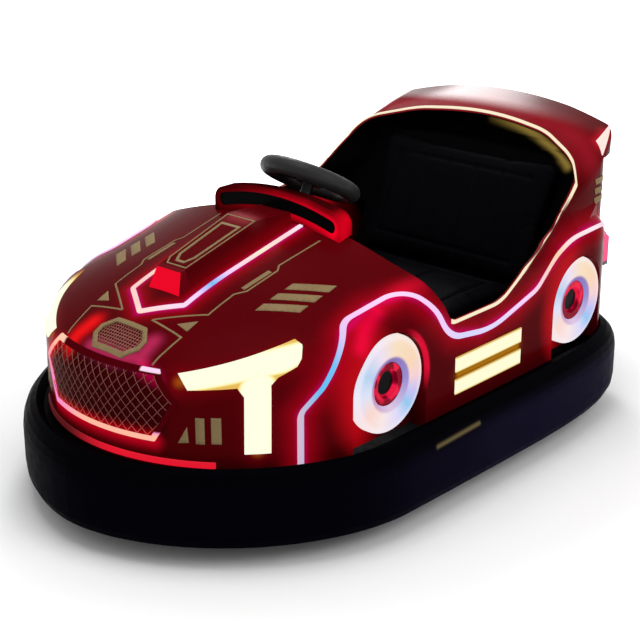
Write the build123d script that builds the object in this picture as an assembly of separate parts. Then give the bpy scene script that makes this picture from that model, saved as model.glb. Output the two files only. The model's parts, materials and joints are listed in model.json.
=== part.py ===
"""Battery bumper car: fibreglass body on a steel pan, rubber ring, steered drive wheel in front.

Frame, in millimetres: the car's nose points to -Y, its left side to +X, up is +Z.
The origin is on the floor under the middle of the bumper ring.
"""
from build123d import *
import math
import os

os.makedirs("parts", exist_ok=True)

# ---------------------------------------------------------------- driving sizes
# bumper ring seen from above: a rounded nose and a squarer tail
ring_half_width = 646
ring_front = 975
ring_rear = 975
ring_widest_y = -314
nose_power = 1.82           # 2 would be an ellipse
tail_power = 5.35
ring_bottom = 50
ring_top = 277
ring_lip_top = 252          # where the rubber meets the body
fit_gap = 0.3               # between pieces that seat on each other along a curve

# fibreglass body seen from above
nose_y = -310               # centre of the round nose
nose_radius = 558
side_radius = 27500         # the sides are drawn in a little towards the tail
tail_y = 930
corner_radius = 239
wall = 6
body_bottom = 240
body_top = 1100             # above everything

# crown of the hood: a dome that runs out into a sloping barrel
dome_radius = 1290
dome_y = -165.5
dome_z = -582.5
barrel_slope = 13.1
shoulder_radius = 112
hood_end_y = 130            # where the hood moulding meets the tail moulding

# rear fenders and the raked hoop behind the seat
fender_top = 640
fender_radius = 70
foot_radius = 80            # sweep by which the hoop runs out onto the fender
foot_top = 692
foot_angle = 56
hoop_bottom = 550
hoop_tail_y = 926
hoop_corner = 90
hoop_corner_x = 366
hoop_side_angle = 18
roof_y = 830
roof_z = 880
roof_slope = 23
wing_tail_y = 972
wing_bottom = 800
wing_face = 120             # from the wing's underside up to its end face
wing_front_y = 790
wing_lip_y = 936            # where the underside turns up to the end face

# cockpit opening: seen from the side, then the roof's front edge seen from above
dash_y = -127
dash_z = 690
knee_y = -92
knee_z = 610
sill_front_y = -42
sill_z = 526
sill_rear_y = 195
ledge_y = 310
ledge_z = 592
rake_foot_y = 545
rake_foot_z = 652
rake_angle = 36
roof_edge_y = 848
roof_edge_bends = ((262, 812, 250), (430, 722, 60))     # x, y, bend radius
roof_edge_middle_bend = 1200
roof_edge_side = (700, 480)

# light strips
strip_proud = 4
strip_width = 13
edge_strip_width = 9
strip_lean = 35             # the flank strip's joint is cut at this angle above level
vee_apex_y = -694
vee_kink_y = -625
vee_half_width = 104

# grille and lip light on the nose; the grille is a hexagon seen from the front: half width, z
grille_corners = ((197, 515), (265, 438), (199, 322))
mesh_pitch = 24
mesh_wire = 4
mesh_angle = 32
mesh_length = 420
mesh_middle_z = 418
lip_half_width = 342
lip_high = 277

# headlamp: a T on the corner of the nose, drawn on a plane turned this far from the front
lamp_turn = 50
headlamp_outline = (
    (-206, 512),
    (100, 580),
    (117, 571),
    (111, 546),
    (98, 530),
    (47, 509),
    (28, 491),
    (26, 302),
    (-44, 302),
    (-42, 462),
    (-59, 486),
    (-185, 476),
)

# lit bars on the flanks between the rings
side_bar_y = (-17, 305)
side_bar_z = ((298, 344), (365, 411))

# lamps on the tail's corners: x, z; and a three-cornered lamp on each side of the wing: y, z
tail_lamp_x = (402, 482)
tail_lamp_z = (452, 545)
tail_lamp_proud = 24
wing_lamp_corners = ((961, 882), (864, 851), (858, 811))

# lit rings on the flanks: y and z of the middle, x of the outer face
ring_lamps = (
    (-294, 412, 550),
    (627, 404, 530),
)
ring_lamp_radius = 139
ring_lamp_hole = 62
ring_lamp_depth = 30
ring_lamp_round = 12
hub_disc_depth = 20
hub_sunk = 10
hub_dish_depth = 12
arch_gap = 6

# raised spine of the hood and the cowl behind it
spine_front_y = -608
spine_bend_y = -297
lens_length = 42
cowl_half_width = 248
cowl_front_y = -165
cowl_back_y = -110
cowl_foot = 600
cowl_shoulder_z = 788
cowl_corner = 42
cowl_top = 819
cowl_wall = 8
visor_height = 40
visor_depth = 16
visor_sunk = 6
visor_half_width = 213
visor_end_z = 757
visor_middle_z = 787

# floor pan and running gear
pan_z = 130
pan_plate = 4
rim_wall = 8
rail_half_spacing = 250     # frame rails under the pan, joined by beams
rail_half = 14
rail_depth = 16
beam_places = (-230, 330, 800)
well_top = 285              # roof of the drive wheel's well
head_height = 30
stem_radius = 20
stem_stub = 40
drive_y = -450
drive_radius = 120
drive_width = 70
drive_tyre_depth = 30
fork_plate = 8
crown_thickness = 12
crown_half = 40
leg_half = 28
chain_wheel_radius = 75
rear_wheel_y = 560
rear_wheel_x = 430
rear_wheel_radius = 100
rear_wheel_width = 50
rear_tyre_depth = 28
axle_radius = 10
shaft_play = 0.05
run_gap = 8                 # between a turning wheel and what is round it
eye_bolt_x = 300            # holes for two lifting eyes behind the seat
eye_bolt_y = 740
eye_bolt_radius = 6.5

# steering
hub_y = -14
hub_z = 826
column_angle = 60           # above level, leaning back to the driver
steering_wheel_radius = 155
steering_rim_radius = 26
spoke_width = 48
spoke_thickness = 12
column_radius = 16
column_length = 470
column_tube_start = 62      # below the wheel
tube_wall = 5
shaft_stub = 20
bracket_half_width = 45
bracket_depth = 30
bracket_rise = 30
wheel_dish_radius = 62
wheel_boss_radius = 38
wheel_boss_height = 32

# seat
seat_half_width = 350
seat_front_y = 215
seat_back_y = 600
seat_base_top = 365
seat_wall = 5
battery_size = (460, 180, 220)
battery_y = 400
cushion_thickness = 80
cushion_inset = 10
cushion_edge = 25
back_thickness = 75
back_angle = 24
back_height = 395
back_inset = 5
liner_wall = 3
tub_wall = 5

# accelerator pedal
pedal_x = 120
pedal_y = -190
pedal_width = 70
pedal_length = 130


def mirrored(point):
    return (-point[0], point[1])


# ---------------------------------------------------------------- body surfaces
def plan_outline(grow):
    """Outline of the body seen from above, moved outwards by grow."""
    side_x = nose_radius - side_radius
    corner_y = tail_y - corner_radius
    turn = math.asin((corner_y - nose_y) / (side_radius - corner_radius))
    corner_x = side_x + (side_radius - corner_radius) * math.cos(turn)
    nose = nose_radius + grow
    out = corner_radius + grow

    def on_side(angle):
        radius = side_radius + grow
        return (side_x + radius * math.cos(angle), nose_y + radius * math.sin(angle))

    def on_corner(angle):
        return (corner_x + out * math.cos(angle), corner_y + out * math.sin(angle))

    side_end = on_side(turn)
    side_mid = on_side(turn / 2)
    corner_mid = on_corner((turn + math.pi / 2) / 2)
    tail = (corner_x, corner_y + out)
    return make_face(
        [
            ThreePointArc((-nose, nose_y), (0, nose_y - nose), (nose, nose_y)),
            ThreePointArc((nose, nose_y), side_mid, side_end),
            ThreePointArc(side_end, corner_mid, tail),
            Line(tail, mirrored(tail)),
            ThreePointArc(mirrored(tail), mirrored(corner_mid), mirrored(side_end)),
            ThreePointArc(mirrored(side_end), mirrored(side_mid), (-nose, nose_y)),
        ]
    )


def block(x_low, x_high, y_low, y_high, z_low, z_high):
    centre = ((x_low + x_high) / 2, (y_low + y_high) / 2, (z_low + z_high) / 2)
    return Pos(*centre) * Box(x_high - x_low, y_high - y_low, z_high - z_low)


def slab(y_low, y_high, z_low=-100, z_high=1500):
    """A block that spans the car, for cutting."""
    return block(-1500, 1500, y_low, y_high, z_low, z_high)


def side_prism(outline, x_low=-1500, x_high=1500):
    """A closed outline of (y, z) points or edges, run across the car from x_low to x_high."""
    face = Plane(origin=(x_low, 0, 0), x_dir=(0, 1, 0), z_dir=(1, 0, 0)) * outline
    return extrude(face, x_high - x_low, dir=(1, 0, 0))


def upright(x, y, z_low, z_high, radius):
    """A round bar standing at x, y."""
    return Pos(x, y, z_low) * Cylinder(radius, z_high - z_low, align=(Align.CENTER, Align.CENTER, Align.MIN))


def across(x_low, x_high, y, z, radius):
    """A round bar lying across the car."""
    bar = Cylinder(radius, x_high - x_low, align=(Align.CENTER, Align.CENTER, Align.MIN))
    return Pos(x_low, y, z) * Rot(0, 90, 0) * bar


def dome(grow):
    """All that lies under the hood's crown: a ball that runs out into a barrel."""
    radius = dome_radius + grow
    length = 2000
    slope = math.radians(barrel_slope)
    profile = make_face(
        [
            ThreePointArc((-radius, 0), (-radius * math.sqrt(0.5), radius * math.sqrt(0.5)), (0, radius)),
            Line((0, radius), (length, radius)),
            Line((length, radius), (length, 0)),
            Line((length, 0), (-radius, 0)),
        ]
    )
    barrel = Plane(origin=(0, dome_y, dome_z), x_dir=(0, math.cos(slope), math.sin(slope)), z_dir=(1, 0, 0))
    return revolve(barrel * profile, Axis(barrel.origin, barrel.x_dir))


def front_form(grow, bottom):
    """Hood, nose and front fenders as one solid, rounded all along the shoulder."""
    prism = Pos(0, 0, bottom) * extrude(plan_outline(grow), body_top - bottom)
    form = (prism & slab(-1500, hood_end_y + 400)) & dome(grow)
    shoulder = form.edges().filter_by(GeomType.BSPLINE)
    form = fillet(shoulder, shoulder_radius + grow)
    return form & slab(-1500, hood_end_y)


# sections of the hoop: y, half width, corner radius, drop of the roof at its edge
hoop_sections = (
    (400, 484, 125, 8),
    (650, 479, 101, 10),
    (830, 461, 95, 20),
    (wing_tail_y, 415, 24, 52),
)


def hoop_foot(grow):
    """The sweep by which one side of the hoop runs out onto the fender."""
    radius = foot_radius - grow
    angle = math.radians(foot_angle)
    faces = []
    for y, half_width, corner, drop in hoop_sections[:-1]:
        centre_x = half_width + foot_radius
        inner_x = half_width - foot_radius
        end = (centre_x - radius * math.cos(angle), foot_top - radius * math.sin(angle))
        middle = (centre_x - radius * math.cos(angle / 2), foot_top - radius * math.sin(angle / 2))
        start = (half_width + grow, foot_top)
        low = hoop_bottom - grow
        edges = [
            ThreePointArc(start, middle, end),
            Line(end, (end[0], low)),
            Line((end[0], low), (inner_x, low)),
            Line((inner_x, low), (inner_x, foot_top)),
            Line((inner_x, foot_top), start),
        ]
        faces.append(Plane(origin=(0, y, 0), x_dir=(1, 0, 0), z_dir=(0, -1, 0)) * make_face(edges))
    return loft(faces, ruled=True)


def hoop_form(grow):
    """The raked hoop behind the seat with the wing that grows out of its roof."""
    bottom = hoop_bottom - grow
    faces = []
    for y, half_width, corner, drop in hoop_sections:
        top = roof_z + (y - roof_y) * math.tan(math.radians(roof_slope)) + grow
        side = half_width + grow
        radius = corner + grow
        shoulder_x = side - radius
        shoulder_z = top - drop - radius
        arc = math.radians(90) - 2 * math.atan(drop / shoulder_x)
        arc_end = (shoulder_x + radius * math.cos(arc), shoulder_z + radius * math.sin(arc))
        arc_mid = (shoulder_x + radius * math.cos(arc / 2), shoulder_z + radius * math.sin(arc / 2))
        edges = [
            Line((-side, bottom), (side, bottom)),
            Line((side, bottom), (side, shoulder_z)),
            ThreePointArc((side, shoulder_z), arc_mid, arc_end),
            ThreePointArc(arc_end, (0, top), mirrored(arc_end)),
            ThreePointArc(mirrored(arc_end), mirrored(arc_mid), (-side, shoulder_z)),
            Line((-side, shoulder_z), (-side, bottom)),
        ]
        faces.append(Plane(origin=(0, y, 0), x_dir=(1, 0, 0), z_dir=(0, -1, 0)) * make_face(edges))
    tube = loft(faces)
    foot = hoop_foot(grow)
    sides = tube + foot + mirror(foot, about=Plane.YZ)
    angle = math.radians(hoop_side_angle)
    corner = hoop_corner + grow
    corner_y = hoop_tail_y - hoop_corner
    start = (hoop_corner_x + corner * math.cos(angle), corner_y + corner * math.sin(angle))
    middle_angle = (angle + math.pi / 2) / 2
    middle = (hoop_corner_x + corner * math.cos(middle_angle), corner_y + corner * math.sin(middle_angle))
    end = (hoop_corner_x, corner_y + corner)
    reach = 700
    far = (start[0] + reach * math.tan(angle), start[1] - reach)
    plan = make_face(
        [
            Line(mirrored(far), far),
            Line(far, start),
            ThreePointArc(start, middle, end),
            Line(end, mirrored(end)),
            ThreePointArc(mirrored(end), mirrored(middle), mirrored(start)),
            Line(mirrored(start), mirrored(far)),
        ]
    )
    cabin = sides & (Pos(0, 0, bottom) * extrude(plan, body_top))
    wing_side = Polyline(
        (wing_front_y, wing_bottom - grow),
        (wing_lip_y, wing_bottom - grow),
        (wing_tail_y + grow, wing_bottom + wing_face),
        (wing_tail_y + grow, body_top),
        (wing_front_y, body_top),
        close=True,
    )
    wing = tube & side_prism(make_face(wing_side))
    return cabin + wing


def rear_form(grow, bottom):
    """Rear fenders with the hoop standing on them."""
    prism = Pos(0, 0, bottom) * extrude(plan_outline(grow), fender_top + grow - bottom)
    prism = prism & slab(hood_end_y - 200, 1500)
    rim = prism.edges().group_by(Axis.Z)[-1].sort_by(Axis.Y)[1:]
    fenders = fillet(rim, fender_radius + grow) & slab(hood_end_y, 1500)
    return fenders + hoop_form(grow)


# ---------------------------------------------------------------- light strips and openings
def cockpit_cut(widen=0):
    """What is open above the sills, from the dash to the edge of the hoop's roof."""
    rake = math.tan(math.radians(rake_angle))
    far_y = 1200
    far_z = rake_foot_z + rake * (far_y - rake_foot_y)
    lift = widen / math.cos(math.radians(rake_angle))
    side = FilletPolyline(
        (dash_y - widen, body_top + 200),
        (dash_y - widen, dash_z),
        (knee_y - widen, knee_z - widen),
        (sill_front_y - widen, sill_z - widen),
        (sill_rear_y, sill_z - widen),
        (ledge_y, ledge_z - widen),
        (rake_foot_y, rake_foot_z - widen),
        (far_y, far_z - lift),
        (far_y, body_top + 200),
        radius=[0, 60, 60, 45, 160, 150, 120, 0, 0],
        close=True,
    )
    side_x, side_y = roof_edge_side
    rear = roof_edge_y + widen
    right = [(x, y + widen) for x, y, radius in roof_edge_bends]
    radii = [radius for x, y, radius in roof_edge_bends]
    front_y = dash_y - 200
    above = FilletPolyline(
        (side_x, front_y),
        (side_x, side_y),
        *reversed(right),
        (0, rear),
        *[mirrored(point) for point in right],
        (-side_x, side_y),
        (-side_x, front_y),
        radius=[0, 0, *reversed(radii), roof_edge_middle_bend, *radii, 0, 0],
        close=True,
    )
    return side_prism(make_face(side)) & extrude(make_face(above), body_top + 200)


def flank_line():
    """The light strip's line from nose to tail, seen along the lean of its joint."""
    corners = (
        # y, height across the lean, bend radius
        (-584, -170, 0),
        (-584, 52, 22),
        (-528, 86, 30),
        (-395, 226, 80),
        (-188, 247, 110),
        (-48, 72, 130),
        (150, 50, 400),
        (383, 102, 120),
        (478, 168, 220),
        (590, 200, 400),
        (862, 212, 0),
    )
    points = [(y, height) for y, height, bend in corners]
    return FilletPolyline(*points, radius=[bend for y, height, bend in corners[1:-1]])


def leaning_prism(outline):
    """An outline of (y, height across the lean) run outwards and up through the left flank."""
    angle = math.radians(strip_lean)
    outwards = (math.cos(angle), 0, math.sin(angle))
    face = Plane(origin=(0, 0, 0), x_dir=(0, 1, 0), z_dir=outwards) * outline
    return extrude(face, 1500) & block(300, 1500, -1500, 1500, -100, 1500)


def skin_piece(cutter, skins):
    """The part of the raised skins that lies inside a cutter, as one solid or several."""
    pieces = [cutter & skin for skin in skins]
    pieces = [piece for piece in pieces if piece is not None and piece.volume > 1]
    joined = pieces[0]
    for piece in pieces[1:]:
        joined = joined + piece
    return joined


def both_sides(shape):
    return shape + mirror(shape, about=Plane.YZ)


def write(name, shape):
    """Write one sub-part; loose crumbs from the cuts are left out."""
    solids = [solid for solid in shape.solids() if solid.volume > 20]
    export_step(solids[0] if len(solids) == 1 else Compound(children=solids), f"parts/{name}.step")


def arch_outline(y, z, radius):
    """A wheel arch seen from the side: round above, straight legs down to the ring."""
    leg = Pos(y, (z + ring_bottom) / 2) * Rectangle(2 * radius, z - ring_bottom)
    return leg + Pos(y, z) * Circle(radius)


def flank(shell, outer):
    """One flank below the light strip, with its two wheel arches."""
    line = flank_line()
    start, end = line @ 0, line @ 1
    floor = -1000
    region = make_face(
        [
            *line.edges(),
            Line((end.X, end.Y), (end.X, floor)),
            Line((end.X, floor), (start.X, floor)),
            Line((start.X, floor), (start.X, start.Y)),
        ]
    )
    side = leaning_prism(region)
    panel = shell & side
    for y, z, face_x in ring_lamps:
        radius = ring_lamp_radius + arch_gap
        inner_x = face_x - ring_lamp_depth - hub_disc_depth
        boss = side_prism(arch_outline(y, z, radius + wall), inner_x - wall, 1500)
        pocket = side_prism(arch_outline(y, z, radius), inner_x, 1500)
        panel = panel + (boss & outer & side)
        panel = panel - pocket
    return panel, side


# ---------------------------------------------------------------- body
front_outer = front_form(0, body_bottom)
front_shell = front_outer - front_form(-wall, body_bottom - 50)
rear_outer = rear_form(0, body_bottom)
rear_shell = rear_outer - rear_form(-wall, body_bottom - 50)
opening = cockpit_cut()
front_shell = front_shell - opening
rear_shell = rear_shell - opening
above_ring = slab(-1500, 1500, ring_lip_top + 8)
skins = [
    (front_form(strip_proud, body_bottom) - front_outer) & above_ring,
    (rear_form(strip_proud, body_bottom) - rear_outer) & above_ring,
]

whole_shell = front_shell + rear_shell
whole_outer = (front_outer + rear_outer) - opening
flank_left, flank_side = flank(whole_shell, whole_outer)
flank_sides = both_sides(flank_side)
write("flank_left", flank_left)
write("flank_right", mirror(flank_left, about=Plane.YZ))
hood = front_shell - flank_sides
tail = rear_shell - flank_sides
write("hood_body", hood)
write("tail_body", tail)

# ---------------------------------------------------------------- light strips
def flank_strip():
    """Tube of light along the joint between the flank and the body above it."""
    return skin_piece(leaning_prism(trace(flank_line(), strip_width)), skins)


neon = flank_strip()
write("neon_left", neon)
write("neon_right", mirror(neon, about=Plane.YZ))

edge_band = (cockpit_cut(edge_strip_width) - opening) & slab(sill_front_y, 1500)
write("cockpit_strip", skin_piece(edge_band, skins))

vee_line = FilletPolyline(
    (-vee_half_width, cowl_front_y - fit_gap),
    (-vee_half_width, vee_kink_y),
    (0, vee_apex_y),
    (vee_half_width, vee_kink_y),
    (vee_half_width, cowl_front_y - fit_gap),
    radius=[8, 10, 8],
)
vee_band = Pos(0, 0, 400) * extrude(trace(vee_line, strip_width), 600)
write("hood_strip", skin_piece(vee_band & slab(-900, cowl_front_y - fit_gap), skins))

# ---------------------------------------------------------------- nose: grille, lip light, headlamps
def front_prism(outline, y_low=-1500, y_high=nose_y):
    """An outline of (x, z) run back through the nose."""
    face = Plane(origin=(0, y_low, 0), x_dir=(1, 0, 0), z_dir=(0, -1, 0)) * outline
    return extrude(face, y_high - y_low, dir=(0, 1, 0))


left_corners = [mirrored(point) for point in reversed(grille_corners)]
grille_face = make_face(Polyline(*grille_corners, *left_corners, close=True))
grille_inner = offset(grille_face, -strip_width)
grille_frame = skin_piece(front_prism(grille_face - grille_inner), skins[:1])
write("grille_strip", grille_frame)

mesh_inner = offset(grille_face, -strip_width - fit_gap)
mesh_steps = math.ceil((mesh_inner.bounding_box().size.X + mesh_length) / mesh_pitch / 2)
mesh_lines = []
for slant in (-mesh_angle, mesh_angle):
    for step in range(-mesh_steps, mesh_steps + 1):
        bar = Pos(step * mesh_pitch, mesh_middle_z) * Rectangle(mesh_wire, mesh_length, rotation=slant)
        mesh_lines.append(bar)
mesh_face = (mesh_lines[0] + mesh_lines[1:]) & mesh_inner
mesh_rim = mesh_inner - offset(mesh_inner, -mesh_wire)
write("grille_mesh", skin_piece(front_prism(mesh_face + mesh_rim), skins[:1]))

lip_face = Pos(0, lip_high / 2) * Rectangle(2 * lip_half_width, lip_high)
write("lip_light", skin_piece(front_prism(lip_face), skins[:1]))

lamp_along = (math.cos(math.radians(lamp_turn)), math.sin(math.radians(lamp_turn)), 0)
lamp_forwards = (lamp_along[1], -lamp_along[0], 0)
lamp_plane = Plane(origin=(0, nose_y, 0), x_dir=lamp_along, z_dir=lamp_forwards)
lamp_prism = extrude(lamp_plane * make_face(Polyline(*headlamp_outline, close=True)), 900)
headlamp = skin_piece(lamp_prism - flank_side, skins[:1]) - neon
write("headlamp_left", headlamp)
write("headlamp_right", mirror(headlamp, about=Plane.YZ))

# ---------------------------------------------------------------- flank lamps and lit rings
bars = [skin_piece(block(300, 1500, *side_bar_y, low, high), skins) for low, high in side_bar_z]
side_lamps = bars[0] + bars[1]
write("side_lamps_left", side_lamps)
write("side_lamps_right", mirror(side_lamps, about=Plane.YZ))

rings = []
discs = []
for y, z, face_x in ring_lamps:
    inner_x = face_x - ring_lamp_depth
    back_x = inner_x - hub_disc_depth
    hub_face_x = face_x - hub_sunk
    ring = across(inner_x, face_x, y, z, ring_lamp_radius) - across(inner_x, face_x, y, z, ring_lamp_hole)
    outer_rim = ring.edges().filter_by(GeomType.CIRCLE).group_by(Axis.X)[-1]
    rings.append(fillet(outer_rim, ring_lamp_round))
    carrier = across(back_x, inner_x, y, z, ring_lamp_radius - 20)
    hub = across(inner_x, hub_face_x, y, z, ring_lamp_hole - fit_gap)
    hub_dish = across(hub_face_x - hub_dish_depth, face_x, y, z, ring_lamp_hole - 20)
    discs.append(carrier + hub - hub_dish)
ring_set = rings[0] + rings[1]
disc_set = discs[0] + discs[1]
write("ring_lamps_left", ring_set)
write("ring_lamps_right", mirror(ring_set, about=Plane.YZ))
write("ring_hubs_left", disc_set)
write("ring_hubs_right", mirror(disc_set, about=Plane.YZ))

# ---------------------------------------------------------------- hood spine and cowl
def cross_face(y, corners):
    """A flat face across the car at y from (x, z) corners of its left half."""
    points = [*corners, *[mirrored(point) for point in reversed(corners)]]
    face = make_face(Polyline(*points, close=True))
    return Plane(origin=(0, y, 0), x_dir=(1, 0, 0), z_dir=(0, -1, 0)) * face


def cowl_section(shrink):
    """Outline of the cowl from the front, moved inwards by shrink: square sides, round crown."""
    side = cowl_half_width - shrink
    shoulder = cowl_shoulder_z - shrink
    outline = make_face(
        [
            Line((-side, cowl_foot), (side, cowl_foot)),
            Line((side, cowl_foot), (side, shoulder)),
            ThreePointArc((side, shoulder), (0, cowl_top - shrink), (-side, shoulder)),
            Line((-side, shoulder), (-side, cowl_foot)),
        ]
    )
    return fillet(outline.vertices().group_by(Axis.Y)[-1], cowl_corner - shrink)


def visor_band(shrink):
    """The visor's slot from the front: a low band along an arc, with round ends."""
    ends = (visor_half_width, visor_end_z)
    return SlotArc(ThreePointArc(mirrored(ends), (0, visor_middle_z), ends), visor_height - 2 * shrink)


slot_back_y = cowl_front_y + visor_depth
cowl_block = front_prism(cowl_section(0), cowl_front_y, cowl_back_y)
visor_slot = front_prism(visor_band(0), cowl_front_y, slot_back_y)
dash_hollow = front_prism(cowl_section(cowl_wall), slot_back_y + cowl_wall, cowl_back_y)
write("cowl", cowl_block - visor_slot - dash_hollow - front_outer)
write("cowl_visor", front_prism(visor_band(fit_gap), cowl_front_y + visor_sunk, slot_back_y) - front_outer)

# the spine's sections: y, then half width and z at the foot, half width and z at the top
spine_sections = (
    (spine_front_y, 78, 560, 46, 680),
    (spine_bend_y, 86, 640, 59, 774),
    (cowl_front_y - fit_gap, 90, 640, 62, 770),
)
spine = loft(
    [
        cross_face(y, ((foot_half, foot), (top_half, top)))
        for y, foot_half, foot, top_half, top in spine_sections
    ],
    ruled=True,
)
nose_slope = Plane(origin=(0, spine_front_y, 619), x_dir=(1, 0, 0), z_dir=(0, -61, 22))
spine = (spine - extrude(nose_slope * Rectangle(600, 600), 300)) - front_outer
lens_cut = slab(-1500, spine_front_y + lens_length)
write("spine_lens", spine & lens_cut)
write("hood_spine", spine - lens_cut)

# ---------------------------------------------------------------- tail lamps
lamp_box = block(*tail_lamp_x, tail_y - corner_radius, tail_y + tail_lamp_proud, *tail_lamp_z)
tail_lamp = (rear_form(tail_lamp_proud, body_bottom) & lamp_box) - whole_outer
write("tail_lamps", both_sides(tail_lamp))
wing_lamp = skin_piece(side_prism(make_face(Polyline(*wing_lamp_corners, close=True)), 300, 1500), skins[1:])
write("wing_lamps", both_sides(wing_lamp))

# ---------------------------------------------------------------- bumper ring
def ring_outline(inset, levels=12):
    """Outside of the bumper seen from above, drawn in by inset: arcs through a rounded box."""
    def point(angle):
        across = math.cos(angle)
        along = math.sin(angle)
        front = along < 0
        power = nose_power if front else tail_power
        reach = (ring_front + ring_widest_y if front else ring_rear - ring_widest_y) - inset
        x = (ring_half_width - inset) * math.copysign(abs(across) ** (2 / power), across)
        y = ring_widest_y + reach * math.copysign(abs(along) ** (2 / power), along)
        return (x, y)

    edges = []
    for quarter in range(4):
        for part in range(levels):
            low = (quarter + part / levels) * math.pi / 2
            high = (quarter + (part + 1) / levels) * math.pi / 2
            edges.append(ThreePointArc(point(low), point((low + high) / 2), point(high)))
    return make_face(edges)


# inset from the widest outline, z
ring_levels = (
    (34, ring_bottom), (14, 61), (3, 84), (0, 112), (0, 205),
    (3, 229), (11, 250), (24, 266), (42, ring_top),
)
dish_levels = ((140, ring_lip_top - 4), (64, ring_lip_top + 4), (42, ring_top), (42, ring_top + 20))
puck = loft([Pos(0, 0, z) * ring_outline(inset) for inset, z in ring_levels], ruled=True)
dish = loft([Pos(0, 0, z) * ring_outline(inset) for inset, z in dish_levels], ruled=True)
pocket = Pos(0, 0, ring_bottom - 1) * extrude(plan_outline(fit_gap), 400)
write("bumper_ring", puck - dish - pocket)

# ---------------------------------------------------------------- floor pan
floor_z = pan_z + pan_plate
drive_well_radius = math.hypot(drive_radius, drive_width / 2) + 3 * run_gap
plate = Pos(0, 0, pan_z) * extrude(plan_outline(-fit_gap), pan_plate)
rim_low = ring_bottom + 20
rim = Pos(0, 0, rim_low) * extrude(plan_outline(-fit_gap) - plan_outline(-rim_wall), body_bottom - rim_low)
drive_well = upright(0, drive_y, pan_z, well_top + pan_plate, drive_well_radius + pan_plate)
drive_hole = upright(0, drive_y, 0, well_top, drive_well_radius)
stem_bore = upright(0, drive_y, 0, body_top, stem_radius + shaft_play)
head_top = well_top + head_height
head_boss = upright(0, drive_y, well_top, head_top, stem_radius + 14)
pan = plate + rim + drive_well + head_boss
well_half = rear_wheel_width / 2 + run_gap
wheel_room = rear_wheel_radius + run_gap
well_covers = []
for side in (-1, 1):
    x = side * rear_wheel_x
    y_ends = (rear_wheel_y - wheel_room, rear_wheel_y + wheel_room)
    room = block(x - well_half, x + well_half, *y_ends, 0, rear_wheel_radius + wheel_room)
    cover = block(
        x - well_half - pan_plate, x + well_half + pan_plate,
        y_ends[0] - pan_plate, y_ends[1] + pan_plate,
        pan_z, rear_wheel_radius + wheel_room + pan_plate,
    )
    pan = pan + cover - room
    well_covers.append(offset(cover, fit_gap))
pan = pan - drive_hole - stem_bore
for side in (-1, 1):
    rail_x = side * rail_half_spacing
    rail_ends = (beam_places[0], beam_places[-1] + 60)
    pan = pan + block(rail_x - rail_half, rail_x + rail_half, *rail_ends, pan_z - rail_depth, pan_z)
beam_half = rail_half_spacing + rail_half
for y in beam_places:
    pan = pan + block(-beam_half, beam_half, y - rail_half, y + rail_half, pan_z - rail_depth, pan_z)
for side in (-1, 1):
    pan = pan - upright(side * eye_bolt_x, eye_bolt_y, 0, floor_z + 10, eye_bolt_radius)

# ---------------------------------------------------------------- steering column and wheel
column_lean = math.radians(column_angle)
column_axis = (0, math.cos(column_lean), math.sin(column_lean))
column_plane = Plane(origin=(0, hub_y, hub_z), x_dir=(1, 0, 0), z_dir=column_axis)


def on_column(low, high, radius):
    """A round bar on the column's axis; low and high are measured down from the wheel's middle."""
    bar = Cylinder(radius, low - high, align=(Align.CENTER, Align.CENTER, Align.MIN))
    return column_plane * Pos(0, 0, -low) * bar


tube_radius = column_radius + tube_wall
shaft_bore = on_column(column_length + 50, -50, column_radius + shaft_play)
write("column_tube", on_column(column_length, column_tube_start, tube_radius) - shaft_bore)
shaft_low = column_length + shaft_stub
write("steering_shaft", on_column(shaft_low, spoke_thickness, column_radius))

# the bracket that carries the column's foot stands on the pan and is welded to it
foot_y = hub_y - column_length * math.cos(column_lean)
foot_z = hub_z - column_length * math.sin(column_lean)
bracket_y = (foot_y - bracket_depth, foot_y + 2)
bracket = block(-bracket_half_width, bracket_half_width, *bracket_y, floor_z, foot_z + bracket_rise)
column_room = on_column(column_length + 200, 0, tube_radius)
write("chassis_pan", pan + (bracket - column_room))

rim_middle = steering_wheel_radius - steering_rim_radius
lower_spoke = Pos(0, -rim_middle / 2, 0) * Box(spoke_width, rim_middle, spoke_thickness)
wheel_body = (
    Torus(rim_middle, steering_rim_radius)
    + Box(2 * rim_middle, spoke_width, spoke_thickness)
    + lower_spoke
    + Cylinder(wheel_dish_radius, spoke_thickness)
    + Cylinder(wheel_boss_radius, wheel_boss_height)
)
shaft_socket = upright(0, 0, -wheel_boss_height, 0, column_radius)
write("steering_wheel", column_plane * (wheel_body - shaft_socket))

# ---------------------------------------------------------------- rear axle and wheels
bearing_x = rear_wheel_x - well_half - 40
axle_half = rear_wheel_x + well_half - 6
axle = across(-axle_half, axle_half, rear_wheel_y, rear_wheel_radius, axle_radius)
for side in (-1, 1):
    bearing_low = side * bearing_x - 16
    axle = axle + block(
        bearing_low, bearing_low + 32, rear_wheel_y - 26, rear_wheel_y + 26, rear_wheel_radius - 24, pan_z
    )
write("rear_axle", axle)


def wheel(radius, width, tyre_depth):
    """A solid tyre with round shoulders and the hub inside it, both about X."""
    rim_radius = radius - tyre_depth
    bore = axle_radius + shaft_play

    def disc(disc_radius, thickness):
        return across(-thickness / 2, thickness / 2, 0, 0, disc_radius)

    tyre = disc(radius, width) - disc(rim_radius, width)
    shoulder = tyre.edges().filter_by(GeomType.CIRCLE).sort_by(SortBy.RADIUS)[-2:]
    hub = disc(rim_radius, width - 8) - disc(rim_radius - 12, width)
    hub = hub + disc(rim_radius - 6, 10) + disc(bore + 12, width - 4)
    return fillet(shoulder, 10), hub - disc(bore, width)


for side, name in ((1, "left"), (-1, "right")):
    tyre, hub = wheel(rear_wheel_radius, rear_wheel_width, rear_tyre_depth)
    place = Pos(side * rear_wheel_x, rear_wheel_y, rear_wheel_radius)
    write(f"rear_tyre_{name}", place * tyre)
    write(f"rear_hub_{name}", place * hub)

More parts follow.
